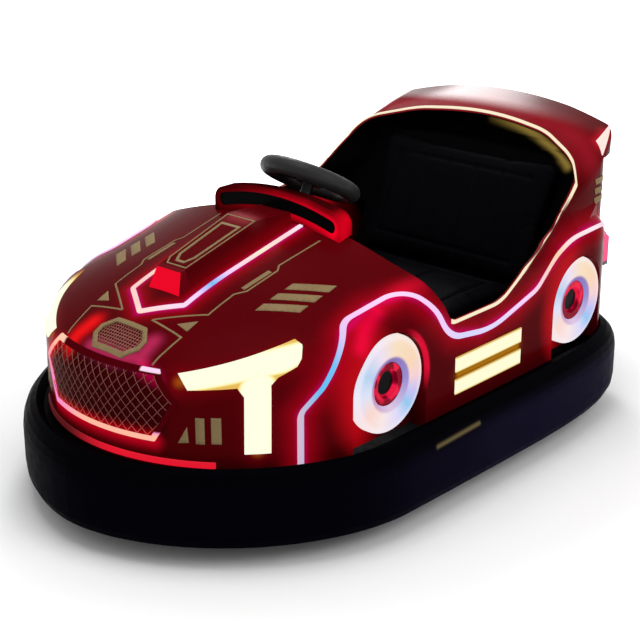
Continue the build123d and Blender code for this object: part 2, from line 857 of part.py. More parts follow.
# ---------------------------------------------------------------- drive wheel in its fork
tyre, hub = wheel(drive_radius, drive_width, drive_tyre_depth)
place = Pos(0, drive_y, drive_radius)
write("drive_tyre", place * tyre)
write("drive_hub", place * hub)

fork_x = drive_width / 2 + run_gap
fork_out_x = fork_x + fork_plate
crown_low = 2 * drive_radius + run_gap
crown_high = crown_low + crown_thickness
fork = block(
    -fork_out_x, fork_out_x, drive_y - crown_half, drive_y + crown_half, crown_low, crown_high
)
for side in (-1, 1):
    near, far = sorted((side * fork_x, side * fork_out_x))
    fork = fork + block(near, far, drive_y - leg_half, drive_y + leg_half, drive_radius - 24, crown_high)
fork = fork + upright(0, drive_y, crown_high, well_top - fit_gap, stem_radius + 20)
fork = fork + upright(0, drive_y, crown_high, head_top + stem_stub, stem_radius)
fork = fork + across(-fork_out_x, fork_out_x, drive_y, drive_radius, axle_radius)
chain_wheel_low = head_top + fit_gap
fork = fork + upright(0, drive_y, chain_wheel_low, chain_wheel_low + 8, chain_wheel_radius)
write("steer_fork", fork)

# ---------------------------------------------------------------- seat, tub and battery
seat_box = block(-seat_half_width, seat_half_width, seat_front_y, seat_back_y, floor_z, seat_base_top)
seat_room = block(
    -seat_half_width + seat_wall, seat_half_width - seat_wall,
    seat_front_y + seat_wall, seat_back_y - seat_wall,
    floor_z - 10, seat_base_top - seat_wall,
)
write("seat_base", seat_box - seat_room)

battery_x, battery_length, battery_height = battery_size
write(
    "battery",
    block(
        -battery_x / 2, battery_x / 2, battery_y - battery_length / 2, battery_y + battery_length / 2,
        floor_z, floor_z + battery_height,
    ),
)

cushion_low = seat_base_top + fit_gap
cushion = block(
    -seat_half_width + cushion_inset, seat_half_width - cushion_inset,
    seat_front_y + cushion_inset / 2, seat_back_y - 2 * cushion_inset,
    cushion_low, cushion_low + cushion_thickness,
)
write("seat_cushion", fillet(cushion.edges(), cushion_edge))

# the backrest leans back from a line along the rear of the cushion
back_lean = math.radians(back_angle)
back_foot_y = seat_back_y - 14
back_foot_z = seat_base_top + cushion_thickness - 18
back_plane = Plane(
    origin=(0, back_foot_y, back_foot_z), x_dir=(1, 0, 0), z_dir=(0, math.sin(back_lean), math.cos(back_lean))
)
back_half_width = seat_half_width - back_inset
back_pad = back_plane * Pos(0, back_thickness / 2, back_height / 2) * Box(
    2 * back_half_width, back_thickness, back_height
)
write("seat_back", fillet(back_pad.edges(), cushion_edge))

# moulded panel behind the backrest, with a shelf back to the tail
panel_gap = back_thickness + fit_gap
shelf_z = back_foot_z + back_height * math.cos(back_lean) - 10


def back_line(z, behind):
    """Where the plane that far behind the backrest's face is at height z."""
    return back_foot_y + (z - back_foot_z) * math.tan(back_lean) + behind / math.cos(back_lean)


panel_foot_y = seat_back_y + fit_gap
panel_bend_z = back_foot_z + (panel_foot_y - back_line(back_foot_z, panel_gap)) / math.tan(back_lean)
tub_side = Polyline(
    (panel_foot_y, floor_z),
    (panel_foot_y, panel_bend_z),
    (back_line(shelf_z, panel_gap), shelf_z),
    (1400, shelf_z),
    (1400, shelf_z - tub_wall),
    (back_line(shelf_z - tub_wall, panel_gap + tub_wall), shelf_z - tub_wall),
    (panel_foot_y + tub_wall, panel_bend_z),
    (panel_foot_y + tub_wall, floor_z),
    close=True,
)
inside = rear_form(-wall - liner_wall - 2 * fit_gap, body_bottom - 200)
tub = side_prism(make_face(tub_side)) & inside
liner_out = -wall - fit_gap
liner_in = liner_out - liner_wall
liner_rear = rear_form(liner_out, body_bottom) - rear_form(liner_in, body_bottom - 50)
liner_front = front_form(liner_out, body_bottom) - front_form(liner_in, body_bottom - 50)
liner = (liner_rear + (liner_front & slab(dash_y, hood_end_y))) - opening
for y, z, face_x in ring_lamps:
    arch = arch_outline(y, z, ring_lamp_radius + arch_gap + wall + fit_gap)
    arch_room = both_sides(side_prism(arch, 400, 1500))
    liner = liner - arch_room
    tub = tub - arch_room
for cover in well_covers:
    tub = tub - cover
write("cockpit_liner", liner)
write("back_panel", tub)

# ---------------------------------------------------------------- pedal
pedal_plane = Plane(origin=(pedal_x, pedal_y, floor_z + 20), x_dir=(1, 0, 0), z_dir=(0, 0.766, 0.643))
pedal_plate = pedal_plane * Pos(0, -55, 0) * Box(pedal_width, pedal_length, 8)
pedal_foot = block(pedal_x - 20, pedal_x + 20, pedal_y - 12, pedal_y + 12, floor_z, floor_z + 24)
write("pedal", pedal_plate + pedal_foot)
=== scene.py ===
"""Battery bumper car: finishes, soft seat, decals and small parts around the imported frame.

Metres; the nose points to -Y, the car's left side to +X, up is +Z.
"""
import json
import math

import bmesh
import bpy
from mathutils import Matrix, Vector
from mathutils.bvhtree import BVHTree

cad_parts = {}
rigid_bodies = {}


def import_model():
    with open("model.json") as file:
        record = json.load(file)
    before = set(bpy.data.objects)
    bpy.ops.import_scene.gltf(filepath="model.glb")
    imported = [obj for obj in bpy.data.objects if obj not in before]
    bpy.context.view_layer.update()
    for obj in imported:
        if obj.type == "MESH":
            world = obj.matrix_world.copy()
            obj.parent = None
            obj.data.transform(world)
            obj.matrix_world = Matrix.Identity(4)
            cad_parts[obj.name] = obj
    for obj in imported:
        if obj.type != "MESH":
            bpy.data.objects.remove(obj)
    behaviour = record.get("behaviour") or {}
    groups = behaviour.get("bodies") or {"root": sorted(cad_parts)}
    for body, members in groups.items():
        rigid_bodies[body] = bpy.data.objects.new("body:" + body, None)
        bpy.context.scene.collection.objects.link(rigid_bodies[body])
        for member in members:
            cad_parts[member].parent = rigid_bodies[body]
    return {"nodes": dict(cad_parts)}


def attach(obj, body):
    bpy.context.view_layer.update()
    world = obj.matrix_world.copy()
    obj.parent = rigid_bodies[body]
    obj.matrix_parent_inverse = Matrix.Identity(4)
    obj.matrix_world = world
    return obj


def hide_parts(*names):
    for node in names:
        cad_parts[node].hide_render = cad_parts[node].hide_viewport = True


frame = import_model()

nodes = frame["nodes"]
for thing in list(bpy.data.objects):
    if thing.name in ("Cube", "Light", "Camera"):
        bpy.data.objects.remove(thing)
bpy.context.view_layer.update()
scene = bpy.context.scene
scene.view_settings.view_transform = "Standard"


# ---------- camera, light and floor
def direction(azimuth, elevation):
    """From the car towards a place round it; azimuth 0 is in front of the nose."""
    turn, rise = math.radians(azimuth), math.radians(elevation)
    return Vector((math.sin(turn) * math.cos(rise), -math.cos(turn) * math.cos(rise), math.sin(rise)))


def set_camera():
    aim = Vector((0, 0.0294, 0.3719))
    away = direction(42.1955, 20.4126)
    distance = 4.7449
    camera = bpy.data.objects.new("camera", bpy.data.cameras.new("camera"))
    camera.data.lens = 87.03
    camera.data.sensor_width = 36
    camera.location = aim + distance * away
    camera.rotation_euler = (-away).to_track_quat("-Z", "Y").to_euler()
    scene.collection.objects.link(camera)
    scene.camera = camera


def set_lamps():
    """Three soft lamps: over the car, from its left, and one behind that the wing's top reflects."""
    aim = Vector((0, 0, 0.4))
    lamps = (
        # name, azimuth, elevation, distance, size, power
        ("lamp_over", 10, 78, 3.2, 2.4, 50),
        ("lamp_left", 95, 35, 4.0, 2.5, 36),
        ("lamp_behind", 225, 40, 4.8, 1.7, 62),
    )
    for name, azimuth, elevation, distance, size, power in lamps:
        away = direction(azimuth, elevation)
        lamp = bpy.data.objects.new(name, bpy.data.lights.new(name, "AREA"))
        lamp.data.shape = "DISK"
        lamp.data.size = size
        lamp.data.energy = power
        lamp.location = aim + distance * away
        lamp.rotation_euler = (-away).to_track_quat("-Z", "Y").to_euler()
        scene.collection.objects.link(lamp)


def seen(tree):
    """1 where a thing is looked at, straight or in metal and glass, and 0 where it lights the car."""
    rays = tree.nodes.new("ShaderNodeLightPath")
    total = rays.outputs["Is Camera Ray"]
    for name in ("Is Glossy Ray", "Is Transmission Ray"):
        larger = tree.nodes.new("ShaderNodeMath")
        larger.operation = "MAXIMUM"
        tree.links.new(total, larger.inputs[0])
        tree.links.new(rays.outputs[name], larger.inputs[1])
        total = larger.outputs[0]
    return total


def set_world():
    """Soft even light from a plain pale studio, which looks white where it is seen."""
    light_on_car = 0.6
    world = bpy.data.worlds.new("studio")
    scene.world = world
    world.use_nodes = True
    tree = world.node_tree
    light = tree.nodes["Background"]
    light.inputs["Color"].default_value = (1, 1, 1, 1)
    strength = tree.nodes.new("ShaderNodeMath")
    strength.operation = "MULTIPLY_ADD"
    tree.links.new(seen(tree), strength.inputs[0])
    strength.inputs[1].default_value = 1 - light_on_car
    strength.inputs[2].default_value = light_on_car
    tree.links.new(strength.outputs[0], light.inputs["Strength"])


def lay_floor():
    """A pale floor that keeps the car's shadow and turns white further out, where it is seen."""
    half, white_from, white_at = 30, 0.9, 2.4
    shape = bmesh.new()
    bmesh.ops.create_grid(shape, x_segments=1, y_segments=1, size=half)
    floor = piece_from(shape, "floor")
    skin = Finish("floor_white", (0.9, 0.9, 0.9), roughness=0.9)
    skin.set(specular_ior_level=0.1)
    skin.mottle((0.95, 0.95, 0.95), (0.93, 0.93, 0.93), scale=3)
    away = skin.spread(skin.vector("DISTANCE", skin.place, (0, 0, 0)), white_from, white_at)
    skin.glow(skin.dimmed(skin.product(away, seen(skin.tree)), (1, 1, 1)))
    floor.data.materials.append(skin.material)


# ---------- finishes
class Finish:
    """A procedural material on the Principled shader, in the piece's own coordinates."""

    def __init__(self, name, colour, roughness=0.5, metallic=0.0):
        self.material = bpy.data.materials.new(name)
        self.material.use_nodes = True
        self.tree = self.material.node_tree
        self.shader = self.tree.nodes["Principled BSDF"]
        self.shader.inputs["Base Color"].default_value = (*colour, 1)
        self.shader.inputs["Roughness"].default_value = roughness
        self.shader.inputs["Metallic"].default_value = metallic
        self.place = self.add("ShaderNodeTexCoord").outputs["Object"]

    def add(self, kind, **settings):
        node = self.tree.nodes.new(kind)
        for key, value in settings.items():
            setattr(node, key, value)
        return node

    def feed(self, socket, value):
        if isinstance(value, bpy.types.NodeSocket):
            self.tree.links.new(value, socket)
        elif socket.type == "RGBA":
            socket.default_value = (*value, 1)
        else:
            socket.default_value = value

    def math(self, operation, a, b=0.0, clamp=False):
        node = self.add("ShaderNodeMath", operation=operation, use_clamp=clamp)
        self.feed(node.inputs[0], a)
        self.feed(node.inputs[1], b)
        return node.outputs[0]

    def vector(self, operation, a, b=(0, 0, 0), scale=None):
        node = self.add("ShaderNodeVectorMath", operation=operation)
        self.feed(node.inputs[0], a)
        self.feed(node.inputs[1], b)
        if scale is not None:
            self.feed(node.inputs["Scale"], scale)
        return node.outputs["Value" if operation in ("DOT_PRODUCT", "DISTANCE") else "Vector"]

    def product(self, first, *others):
        for other in others:
            first = self.math("MULTIPLY", first, other)
        return first

    def noise(self, scale, detail=3.0):
        node = self.add("ShaderNodeTexNoise")
        self.feed(node.inputs["Vector"], self.place)
        self.feed(node.inputs["Scale"], scale)
        self.feed(node.inputs["Detail"], detail)
        return node.outputs["Fac"]

    def mix(self, share, a, b, blend="MIX"):
        node = self.add("ShaderNodeMix", data_type="RGBA", blend_type=blend)
        self.feed(node.inputs["Factor"], share)
        self.feed(node.inputs[6], a)
        self.feed(node.inputs[7], b)
        return node.outputs[2]

    def sum(self, a, b):
        return self.mix(1.0, a, b, blend="ADD")

    def dimmed(self, level, colour):
        """A colour at a level from 0, which is black, to 1."""
        return self.mix(level, (0, 0, 0), colour)

    def spread(self, value, low, high, to_low=0.0, to_high=1.0, easing="SMOOTHSTEP"):
        """Maps low..high onto to_low..to_high and holds it at both ends."""
        node = self.add("ShaderNodeMapRange", interpolation_type=easing)
        self.feed(node.inputs["Value"], value)
        for key, number in (("From Min", low), ("From Max", high), ("To Min", to_low), ("To Max", to_high)):
            node.inputs[key].default_value = number
        return node.outputs["Result"]

    def ramp(self, value, stops):
        """A colour ramp; each stop is a place from 0 to 1 and a colour."""
        node = self.add("ShaderNodeValToRGB")
        self.feed(node.inputs[0], value)
        band = node.color_ramp
        while len(band.elements) > 1:
            band.elements.remove(band.elements[-1])
        band.elements[0].position = stops[0][0]
        band.elements[0].color = (*stops[0][1], 1)
        for place, colour in stops[1:]:
            band.elements.new(place).color = (*colour, 1)
        return node.outputs["Color"]

    def colour(self, value):
        self.feed(self.shader.inputs["Base Color"], value)

    def glow(self, value):
        self.feed(self.shader.inputs["Emission Color"], value)
        self.shader.inputs["Emission Strength"].default_value = 1.0

    def set(self, **sockets):
        """Plain numbers on the shader's own sockets, such as coat_weight."""
        for key, value in sockets.items():
            name = " ".join(word.capitalize() for word in key.split("_")).replace("Ior", "IOR")
            self.feed(self.shader.inputs[name], value)

    def mottle(self, light, dark, scale, detail=3.0):
        self.colour(self.mix(self.noise(scale, detail), dark, light))

    def grain(self, scale, low, high):
        """Roughness that wanders between low and high."""
        self.feed(self.shader.inputs["Roughness"], self.spread(self.noise(scale), 0.3, 0.7, low, high))

    def bump(self, height, depth, strength=0.3):
        node = self.add("ShaderNodeBump")
        self.feed(node.inputs["Height"], height)
        node.inputs["Distance"].default_value = depth
        node.inputs["Strength"].default_value = strength
        self.feed(self.shader.inputs["Normal"], node.outputs["Normal"])

    def split(self, place):
        """The x, y and z of a place."""
        node = self.add("ShaderNodeSeparateXYZ")
        self.feed(node.inputs[0], place)
        return node.outputs[:]

    def join(self, *parts):
        node = self.add("ShaderNodeCombineXYZ")
        for socket, part in zip(node.inputs, parts):
            self.feed(socket, part)
        return node.outputs[0]

    def axis(self, index):
        return self.split(self.place)[index]

    def both_sides(self):
        """The surface's place with its x counted from the middle of the car."""
        x, y, z = self.split(self.place)
        return self.join(self.math("ABSOLUTE", x), y, z)

    def from_ring(self, ring):
        """How far the surface is from a ring lamp's middle, as seen from the car's side."""
        return self.vector("DISTANCE", self.join(0, self.axis(1), self.axis(2)), (0, *ring))

    def distance(self, place, path):
        """How far the surface is from a path of straight runs."""
        nearest = None
        for start, end in zip(path, path[1:]):
            run = Vector(end) - Vector(start)
            along = self.vector("SUBTRACT", place, start)
            share = self.vector("DOT_PRODUCT", along, run / run.length_squared)
            share = self.math("ADD", share, 0.0, clamp=True)
            foot = self.vector("SCALE", tuple(run), scale=share)
            gap = self.vector("DISTANCE", along, foot)
            nearest = gap if nearest is None else self.math("MINIMUM", nearest, gap)
        return nearest

    def halo(self, gap, reach, colour):
        """Painted light that fades out over reach from a lamp or a painted glow line."""
        level = self.spread(gap, 0.0, reach, 1.0, 0.0)
        return self.dimmed(self.product(level, level), colour)


# ---------- pieces
def span(points):
    """The lowest and the highest corner of the box round some points."""
    rows = list(zip(*points))
    return Vector([min(row) for row in rows]), Vector([max(row) for row in rows])


def piece_from(shape, name, turn_out=True):
    """Makes a bmesh an object at the origin; turn_out makes its faces point outwards."""
    if turn_out:
        bmesh.ops.recalc_face_normals(shape, faces=shape.faces)
    mesh = bpy.data.meshes.new(name)
    shape.to_mesh(mesh)
    shape.free()
    piece = bpy.data.objects.new(name, mesh)
    scene.collection.objects.link(piece)
    return piece


def fit(piece, body, finish, smooth=None):
    """Gives a new piece its finish and body; smooth is the sharpest angle that shades round."""
    piece.data.materials.append(finish.material)
    if smooth:
        piece.data.shade_smooth()
        piece.data.set_sharp_from_angle(angle=math.radians(smooth))
    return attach(piece, body)


def skin_of(*names):
    """The surface of some CAD nodes, to lay decals on."""
    points, faces = [], []
    for name in names:
        mesh = nodes[name].data
        first = len(points)
        points.extend(vertex.co.copy() for vertex in mesh.vertices)
        faces.extend([first + corner for corner in face.vertices] for face in mesh.polygons)
    return BVHTree.FromPolygons(points, faces)


VIEWS = {
    # what a decal's two coordinates are, and which way it is pressed on
    "above": (lambda a, b: Vector((a, b, 2)), Vector((0, 0, -1))),
    "left": (lambda a, b: Vector((2, a, b)), Vector((-1, 0, 0))),
    "front": (lambda a, b: Vector((a, -2, b)), Vector((0, 1, 0))),
}


def band(points, width, closed=False):
    """Four-cornered outlines that run along a line of points, mitred at its bends."""
    points = [Vector(point) for point in points]
    count = len(points)
    edges = []
    for index, point in enumerate(points):
        before = points[index - 1] if index or closed else None
        after = points[(index + 1) % count] if index < count - 1 or closed else None
        arrive = (point - before).normalized() if before is not None else (after - point).normalized()
        leave = (after - point).normalized() if after is not None else arrive
        across = (Vector((-arrive.y, arrive.x)) + Vector((-leave.y, leave.x))).normalized()
        stretch = width / 2 / max(0.35, across.dot(Vector((-arrive.y, arrive.x))))
        edges.append((point + stretch * across, point - stretch * across))
    pairs = list(zip(edges, edges[1:])) + ([(edges[-1], edges[0])] if closed else [])
    return [[a[0], b[0], b[1], a[1]] for a, b in pairs]


def pressed(skin, start, along, lift):
    """The point on a skin that is met from start, lifted towards the side it is met from."""
    spot, normal, _, _ = skin.ray_cast(start, along)
    if spot is None:
        raise ValueError(f"nothing is met from {tuple(start)}")
    return spot + lift * (normal if normal.dot(along) < 0 else -normal)


def decal(name, outlines, view, skin, finish, both=True, lift=0.0006, pitch=0.012, depth=0.0004):
    """A film in the given outlines, cut at every pitch so that it bends, and laid on the body at a lift."""
    start, along = VIEWS[view]
    film = bmesh.new()
    for outline in outlines:
        film.faces.new([film.verts.new((*point, 0)) for point in outline])
    bmesh.ops.remove_doubles(film, verts=film.verts, dist=1e-5)
    for axis in (0, 1):
        places = [vertex.co[axis] for vertex in film.verts]
        normal = Vector((1 - axis, axis, 0))
        line = math.ceil(min(places) / pitch) * pitch
        while line < max(places):
            everything = film.verts[:] + film.edges[:] + film.faces[:]
            bmesh.ops.bisect_plane(film, geom=everything, dist=1e-6, plane_co=line * normal, plane_no=normal)
            line += pitch
    for vertex in film.verts:
        vertex.co = pressed(skin, start(vertex.co.x, vertex.co.y), along, lift)
    bmesh.ops.triangulate(film, faces=film.faces)
    if both:
        twin = bmesh.ops.duplicate(film, geom=film.verts[:] + film.edges[:] + film.faces[:])["geom"]
        bmesh.ops.scale(film, vec=(-1, 1, 1), verts=[item for item in twin if isinstance(item, bmesh.types.BMVert)])
        bmesh.ops.reverse_faces(film, faces=[item for item in twin if isinstance(item, bmesh.types.BMFace)])
    for face in film.faces:
        face.normal_update()
    # a film on the flank and its twin look opposite ways, so only the other views are tested
    inward = sum(face.normal.dot(along) * face.calc_area() for face in film.faces)
    if view != "left" and inward > 0:
        bmesh.ops.reverse_faces(film, faces=film.faces)
    piece = piece_from(film, name, turn_out=False)
    thick = piece.modifiers.new("thickness", "SOLIDIFY")
    thick.thickness = depth
    thick.offset = 1 if depth > lift else -1
    fit(piece, "car", finish, smooth=40)


def wear(finish, *names):
    """Puts a finish on CAD nodes."""
    for name in names:
        slots = nodes[name].data.materials
        slots.clear()
        slots.append(finish.material)


# ---------- where the lamps are, and the lines of painted glows, sheens and highlights
nose_radius, nose_middle = 0.558, -0.310
grille_low, grille_middle, grille_high = 0.322, 0.438, 0.515


def on_nose(x, z):
    """A point on the nose's round face."""
    return x, nose_middle - math.sqrt(nose_radius**2 - x**2), z


flank_line = [
    (0.489, -0.580, 0.25), (0.487, -0.582, 0.40), (0.503, -0.552, 0.441), (0.518, -0.505, 0.495),
    (0.489, -0.421, 0.583), (0.470, -0.299, 0.619), (0.502, -0.190, 0.631), (0.552, -0.118, 0.575),
    (0.556, -0.031, 0.487), (0.554, 0.10, 0.456), (0.551, 0.29, 0.482), (0.548, 0.40, 0.528),
    (0.539, 0.52, 0.598), (0.519, 0.68, 0.621), (0.475, 0.86, 0.60),
]
vee_line = [(0, -0.694, 0.594), (0.104, -0.625, 0.618), (0.104, -0.165, 0.739)]
grille_lit = [on_nose(-0.190, grille_high), on_nose(-0.265, grille_middle)]
grille_lit += [on_nose(x, grille_low) for x in (-0.199, -0.10, 0, 0.10, 0.195)]
grille_corner = [(0.15, -0.822, 0.514), on_nose(0.203, 0.50)]
# painted pink and red glows round the badge, which is no lamp
badge_painted_glow = [(-0.05, -0.822, 0.523), (0.06, -0.826, 0.520), (0.125, -0.808, 0.530), (0.120, -0.755, 0.558)]
badge_side_painted_glow = [(-0.135, -0.835, 0.508), (-0.115, -0.760, 0.558)]
# painted sheen on the hood's panel
panel_painted_sheen = [(-0.02, -0.30, 0.775), (0.02, -0.30, 0.775)]
# painted red light on the fender's front and top
fender_painted_light_spot = [(0.535, -0.401, 0.546), (0.515, -0.363, 0.581), (0.498, -0.30, 0.608)]
fender_top_painted_light = [(0.500, -0.28, 0.630), (0.490, -0.20, 0.645), (0.495, -0.12, 0.638)]
# painted highlight streak along the bumper's outer edge
bumper_painted_highlight = [(0.643, -0.20, 0.226), (0.642, -0.01, 0.233)]
hip_line = [(0.554, 0.17, 0.533), (0.552, 0.235, 0.546), (0.544, 0.328, 0.600), (0.500, 0.479, 0.636),
            (0.474, 0.584, 0.680), (0.466, 0.658, 0.730)]
visor_line = [(-0.213, -0.165, 0.757), (-0.11, -0.165, 0.7795), (0, -0.165, 0.787), (0.11, -0.165, 0.7795),
              (0.213, -0.165, 0.757)]
# painted red glow at the cowl's left end, where there is no lamp
cowl_end_painted_glow = [(0.238, -0.150, 0.715), (0.244, -0.130, 0.775)]
head_bar = [on_nose(0.262, 0.497), on_nose(0.335, 0.517), on_nose(0.40, 0.535), (0.448, -0.575, 0.548)]
head_stem = [on_nose(0.421, 0.49), on_nose(0.421, 0.31)]
side_bars = (0.321, 0.388)  # heights
bar_line = [(0.556, 0.0, 0.355), (0.552, 0.29, 0.355)]
rings = ((-0.294, 0.412), (0.627, 0.404))  # y and z of their middles
ring_radius = 0.139
hoop_line = [(0.556, -0.03, 0.53), (0.556, 0.2, 0.526), (0.53, 0.36, 0.60), (0.505, 0.48, 0.636),
             (0.466, 0.658, 0.73), (0.444, 0.708, 0.78), (0.415, 0.733, 0.812), (0.296, 0.794, 0.854),
             (0.0, 0.848, 0.887)]
roof_glow = [(-0.04, 0.943, 0.842), (0.06, 0.941, 0.831), (0.11, 0.94, 0.822), (0.16, 0.93, 0.811),
             (0.20, 0.917, 0.797), (0.227, 0.917, 0.785), (0.276, 0.88, 0.779), (0.332, 0.825, 0.778),
             (0.35, 0.818, 0.765)]
# painted red sheen along the roof's top, where there is no lamp
roof_painted_sheen = [(0.0, 0.885, 0.915), (0.30, 0.85, 0.885), (0.46, 0.79, 0.82)]
wing_lamp_middle = [(0.432, 0.875, 0.845), (0.425, 0.92, 0.868)]


def gel_coat(name, light, dark):
    """Deep red gel coat with next to no sheen of its own."""
    red = Finish(name, light, roughness=0.16)
    shade = red.mix(red.noise(3.2), dark, light)
    red.colour(shade)
    red.grain(38, 0.13, 0.22)
    red.bump(red.noise(900, 2), 0.0002, 0.05)
    red.set(specular_ior_level=0.006, specular_tint=(1.0, 0.25, 0.28), coat_roughness=0.24)
    return red, shade


def painted_light_by(finish, place, lamps):
    """Painted light beside some lamps and along painted glow lines; each is a path with the reach and colour of
    each ring of its painted light.
    """
    light = None
    for path, halos in lamps:
        gap = finish.distance(place, path)
        for reach, colour in halos:
            halo = finish.halo(gap, reach, colour)
            light = halo if light is None else finish.sum(light, halo)
    return light


def paint():
    """The body's gel coat: painted shade behind the grille, painted light beside lamps, ahead of rings and in their
    arches, and painted glows and sheens where there is no lamp.
    """
    red, shade = gel_coat("body_red_gel_coat", (0.098, 0.0012, 0.0028), (0.062, 0.001, 0.0024))
    place = red.both_sides()
    x, y, z = red.split(place)
    # painted shade: the gel coat behind the grille is darker
    grille_painted_shade = red.product(red.spread(z, 0.325, 0.335), red.spread(z, grille_high, 0.505),
                            red.spread(x, 0.25, 0.215), red.spread(y, -0.74, -0.77))
    red.colour(red.mix(grille_painted_shade, shade, (0.042, 0.001, 0.002)))
    # the wing's top is polished, less so towards its left end
    polished = red.product(red.spread(y, 0.862, 0.925), red.spread(red.axis(0), 0.40, 0.08, 0.16, 1.0),
                           red.spread(z, 0.845, 0.87))
    red.feed(red.shader.inputs["Coat Weight"], polished)
    light = painted_light_by(red, place, (
        (flank_line, ((0.115, (0.22, 0.0, 0.005)), (0.030, (0.20, 0.0, 0.08)))),
        (vee_line, ((0.085, (0.26, 0.0, 0.004)), (0.032, (0.24, 0.0, 0.15)))),
        (fender_painted_light_spot, ((0.055, (0.40, 0.0, 0.03)),)),
        (fender_top_painted_light, ((0.065, (0.34, 0.002, 0.014)),)),
        (roof_painted_sheen, ((0.14, (0.17, 0.006, 0.012)),)),
        (head_bar, ((0.10, (0.10, 0.0, 0.002)), (0.034, (0.30, 0.12, 0.0)))),
        (head_stem, ((0.08, (0.08, 0.0, 0.002)), (0.034, (0.26, 0.10, 0.0)))),
        (bar_line, ((0.060, (0.07, 0.022, 0.0)), (0.026, (0.24, 0.13, 0.0)))),
        (hoop_line, ((0.035, (0.08, 0.003, 0.003)),)),
        (wing_lamp_middle, ((0.060, (0.45, 0.008, 0.02)),)),
    ))
    light = red.sum(light, painted_light_by(red, red.place, (
        (grille_lit, ((0.055, (0.42, 0.0, 0.01)),)),
        (grille_corner, ((0.05, (0.40, 0.0, 0.05)),)),
        (badge_painted_glow, ((0.060, (0.36, 0.02, 0.085)),)),
        (badge_side_painted_glow, ((0.070, (0.75, 0.004, 0.004)),)),
        (panel_painted_sheen, ((0.075, (0.17, 0.03, 0.035)),)),
    )))
    for ring_y, ring_z in rings:
        gap = red.from_ring((ring_y, ring_z))
        ahead = red.product(red.spread(gap, ring_radius, ring_radius + 0.10, 1.0, 0.0),
                            red.spread(y, ring_y + 0.03, ring_y - 0.10), red.spread(x, 0.40, 0.46))
        light = red.sum(light, red.dimmed(ahead, (0.40, 0.002, 0.006)))
        arch = red.product(red.spread(gap, ring_radius + 0.026, ring_radius + 0.014),
                           red.spread(y, ring_y + 0.05, ring_y + 0.12),
                           red.spread(z, ring_z - 0.07, ring_z + 0.02), red.spread(x, 0.547, 0.550))
        light = red.sum(light, red.dimmed(arch, (0.62, 0.003, 0.03)))
    red.glow(light)
    return red


def cowl_paint():
    """The body's gel coat painted darker as shade, with painted red light round the visor that grows towards the
    car's left side, and a painted red glow at its left end.
    """
    # painted shade: a darker copy of the body's gel coat
    red, _ = gel_coat("cowl_red_gel_coat", (0.040, 0.001, 0.0015), (0.026, 0.0008, 0.0012))
    # painted red light round the visor, which is no lamp
    gap = red.distance(red.place, visor_line)
    rim = red.spread(gap, 0.018, 0.046, 1.0, 0.0)
    level = red.product(rim, red.spread(red.axis(0), -0.22, 0.24, 0.09, 1.0))
    light = red.dimmed(level, (0.66, 0.0, 0.012))
    red.glow(red.sum(light, painted_light_by(red, red.place, ((cowl_end_painted_glow, ((0.075, (0.62, 0.0, 0.01)),)),))))
    red.set(specular_ior_level=0.0)
    return red


def liner_black():
    """Black liner with a gold glow under the roof's edge that fades towards the right."""
    black = moulded_black("cockpit_liner_black", 0.0025, 0.6, 0.006)
    gap = black.distance(black.place, roof_glow)
    halo = black.halo(gap, 0.034, (0.22, 0.15, 0.03))
    black.glow(black.dimmed(black.spread(black.axis(0), -0.12, 0.14), halo))
    black.set(specular_ior_level=0.0)
    return black


def grille_light():
    """The neon round the grille: lit on its right, below, and at one short end on its upper left."""
    lamp = lit("grille_neon")
    x, z = lamp.axis(0), lamp.axis(2)
    side = lamp.spread(x, -0.155, -0.168)
    below = lamp.spread(z, 0.352, 0.344)
    corner = lamp.product(lamp.spread(x, 0.144, 0.150), lamp.spread(z, 0.505, 0.508))
    level = lamp.math("MAXIMUM", lamp.math("MAXIMUM", side, below), corner)
    run = lamp.mix(lamp.spread(x, -0.20, -0.02), (0.94, 0.27, 0.58), (1.0, 0.50, 0.36))
    rise = lamp.ramp(lamp.spread(z, 0.34, 0.52), (
        (0.0, (0.94, 0.27, 0.62)), (0.5, (0.95, 0.32, 0.52)), (0.8, (0.97, 0.40, 0.36)), (1.0, (0.97, 0.62, 0.42)),
    ))
    shade = lamp.mix(lamp.spread(z, 0.334, 0.352), run, rise)
    shade = lamp.mix(corner, shade, (0.93, 0.70, 0.93))
    lamp.glow(lamp.mix(level, (0.02, 0.0, 0.001), shade))
    lamp.mottle((0.060, 0.001, 0.003), (0.045, 0.001, 0.002), scale=20)
    lamp.set(specular_ior_level=0.0)
    return lamp


def wire():
    """Rose copper wire, red hot in the neon's light."""
    copper = Finish("grille_rose_copper", (0.22, 0.07, 0.055), roughness=0.5, metallic=0.25)
    copper.mottle((0.25, 0.08, 0.06), (0.17, 0.045, 0.035), scale=30)
    copper.grain(120, 0.4, 0.6)
    copper.bump(copper.noise(700, 2), 0.0002, 0.15)
    copper.glow(painted_light_by(copper, copper.place, ((grille_lit, ((0.065, (0.85, 0.03, 0.012)),)),)))
    copper.set(specular_ior_level=0.1)
    return copper


def lip_glow():
    """Red lip light, dim on the car's right side."""
    lamp = lit("lip_red_light")
    level = lamp.spread(lamp.axis(0), -0.14, 0.08, 0.12, 1.0)
    lamp.glow(lamp.dimmed(level, (0.76, 0.0015, 0.02)))
    return lamp


def edge_light():
    """Cream line round the cockpit; over the hip only its inner edge is lit."""
    lamp = lit("cockpit_cream_light")
    gap = lamp.distance(lamp.both_sides(), hip_line)
    dark = lamp.product(lamp.spread(lamp.axis(1), 0.28, 0.34), lamp.spread(lamp.axis(1), 0.66, 0.60),
                        lamp.spread(gap, 0.008, 0.012))
    lamp.glow(lamp.mix(dark, (0.90, 0.84, 0.60), (0.03, 0.0, 0.001)))
    lamp.mottle((0.09, 0.001, 0.003), (0.06, 0.001, 0.002), scale=20)
    return lamp


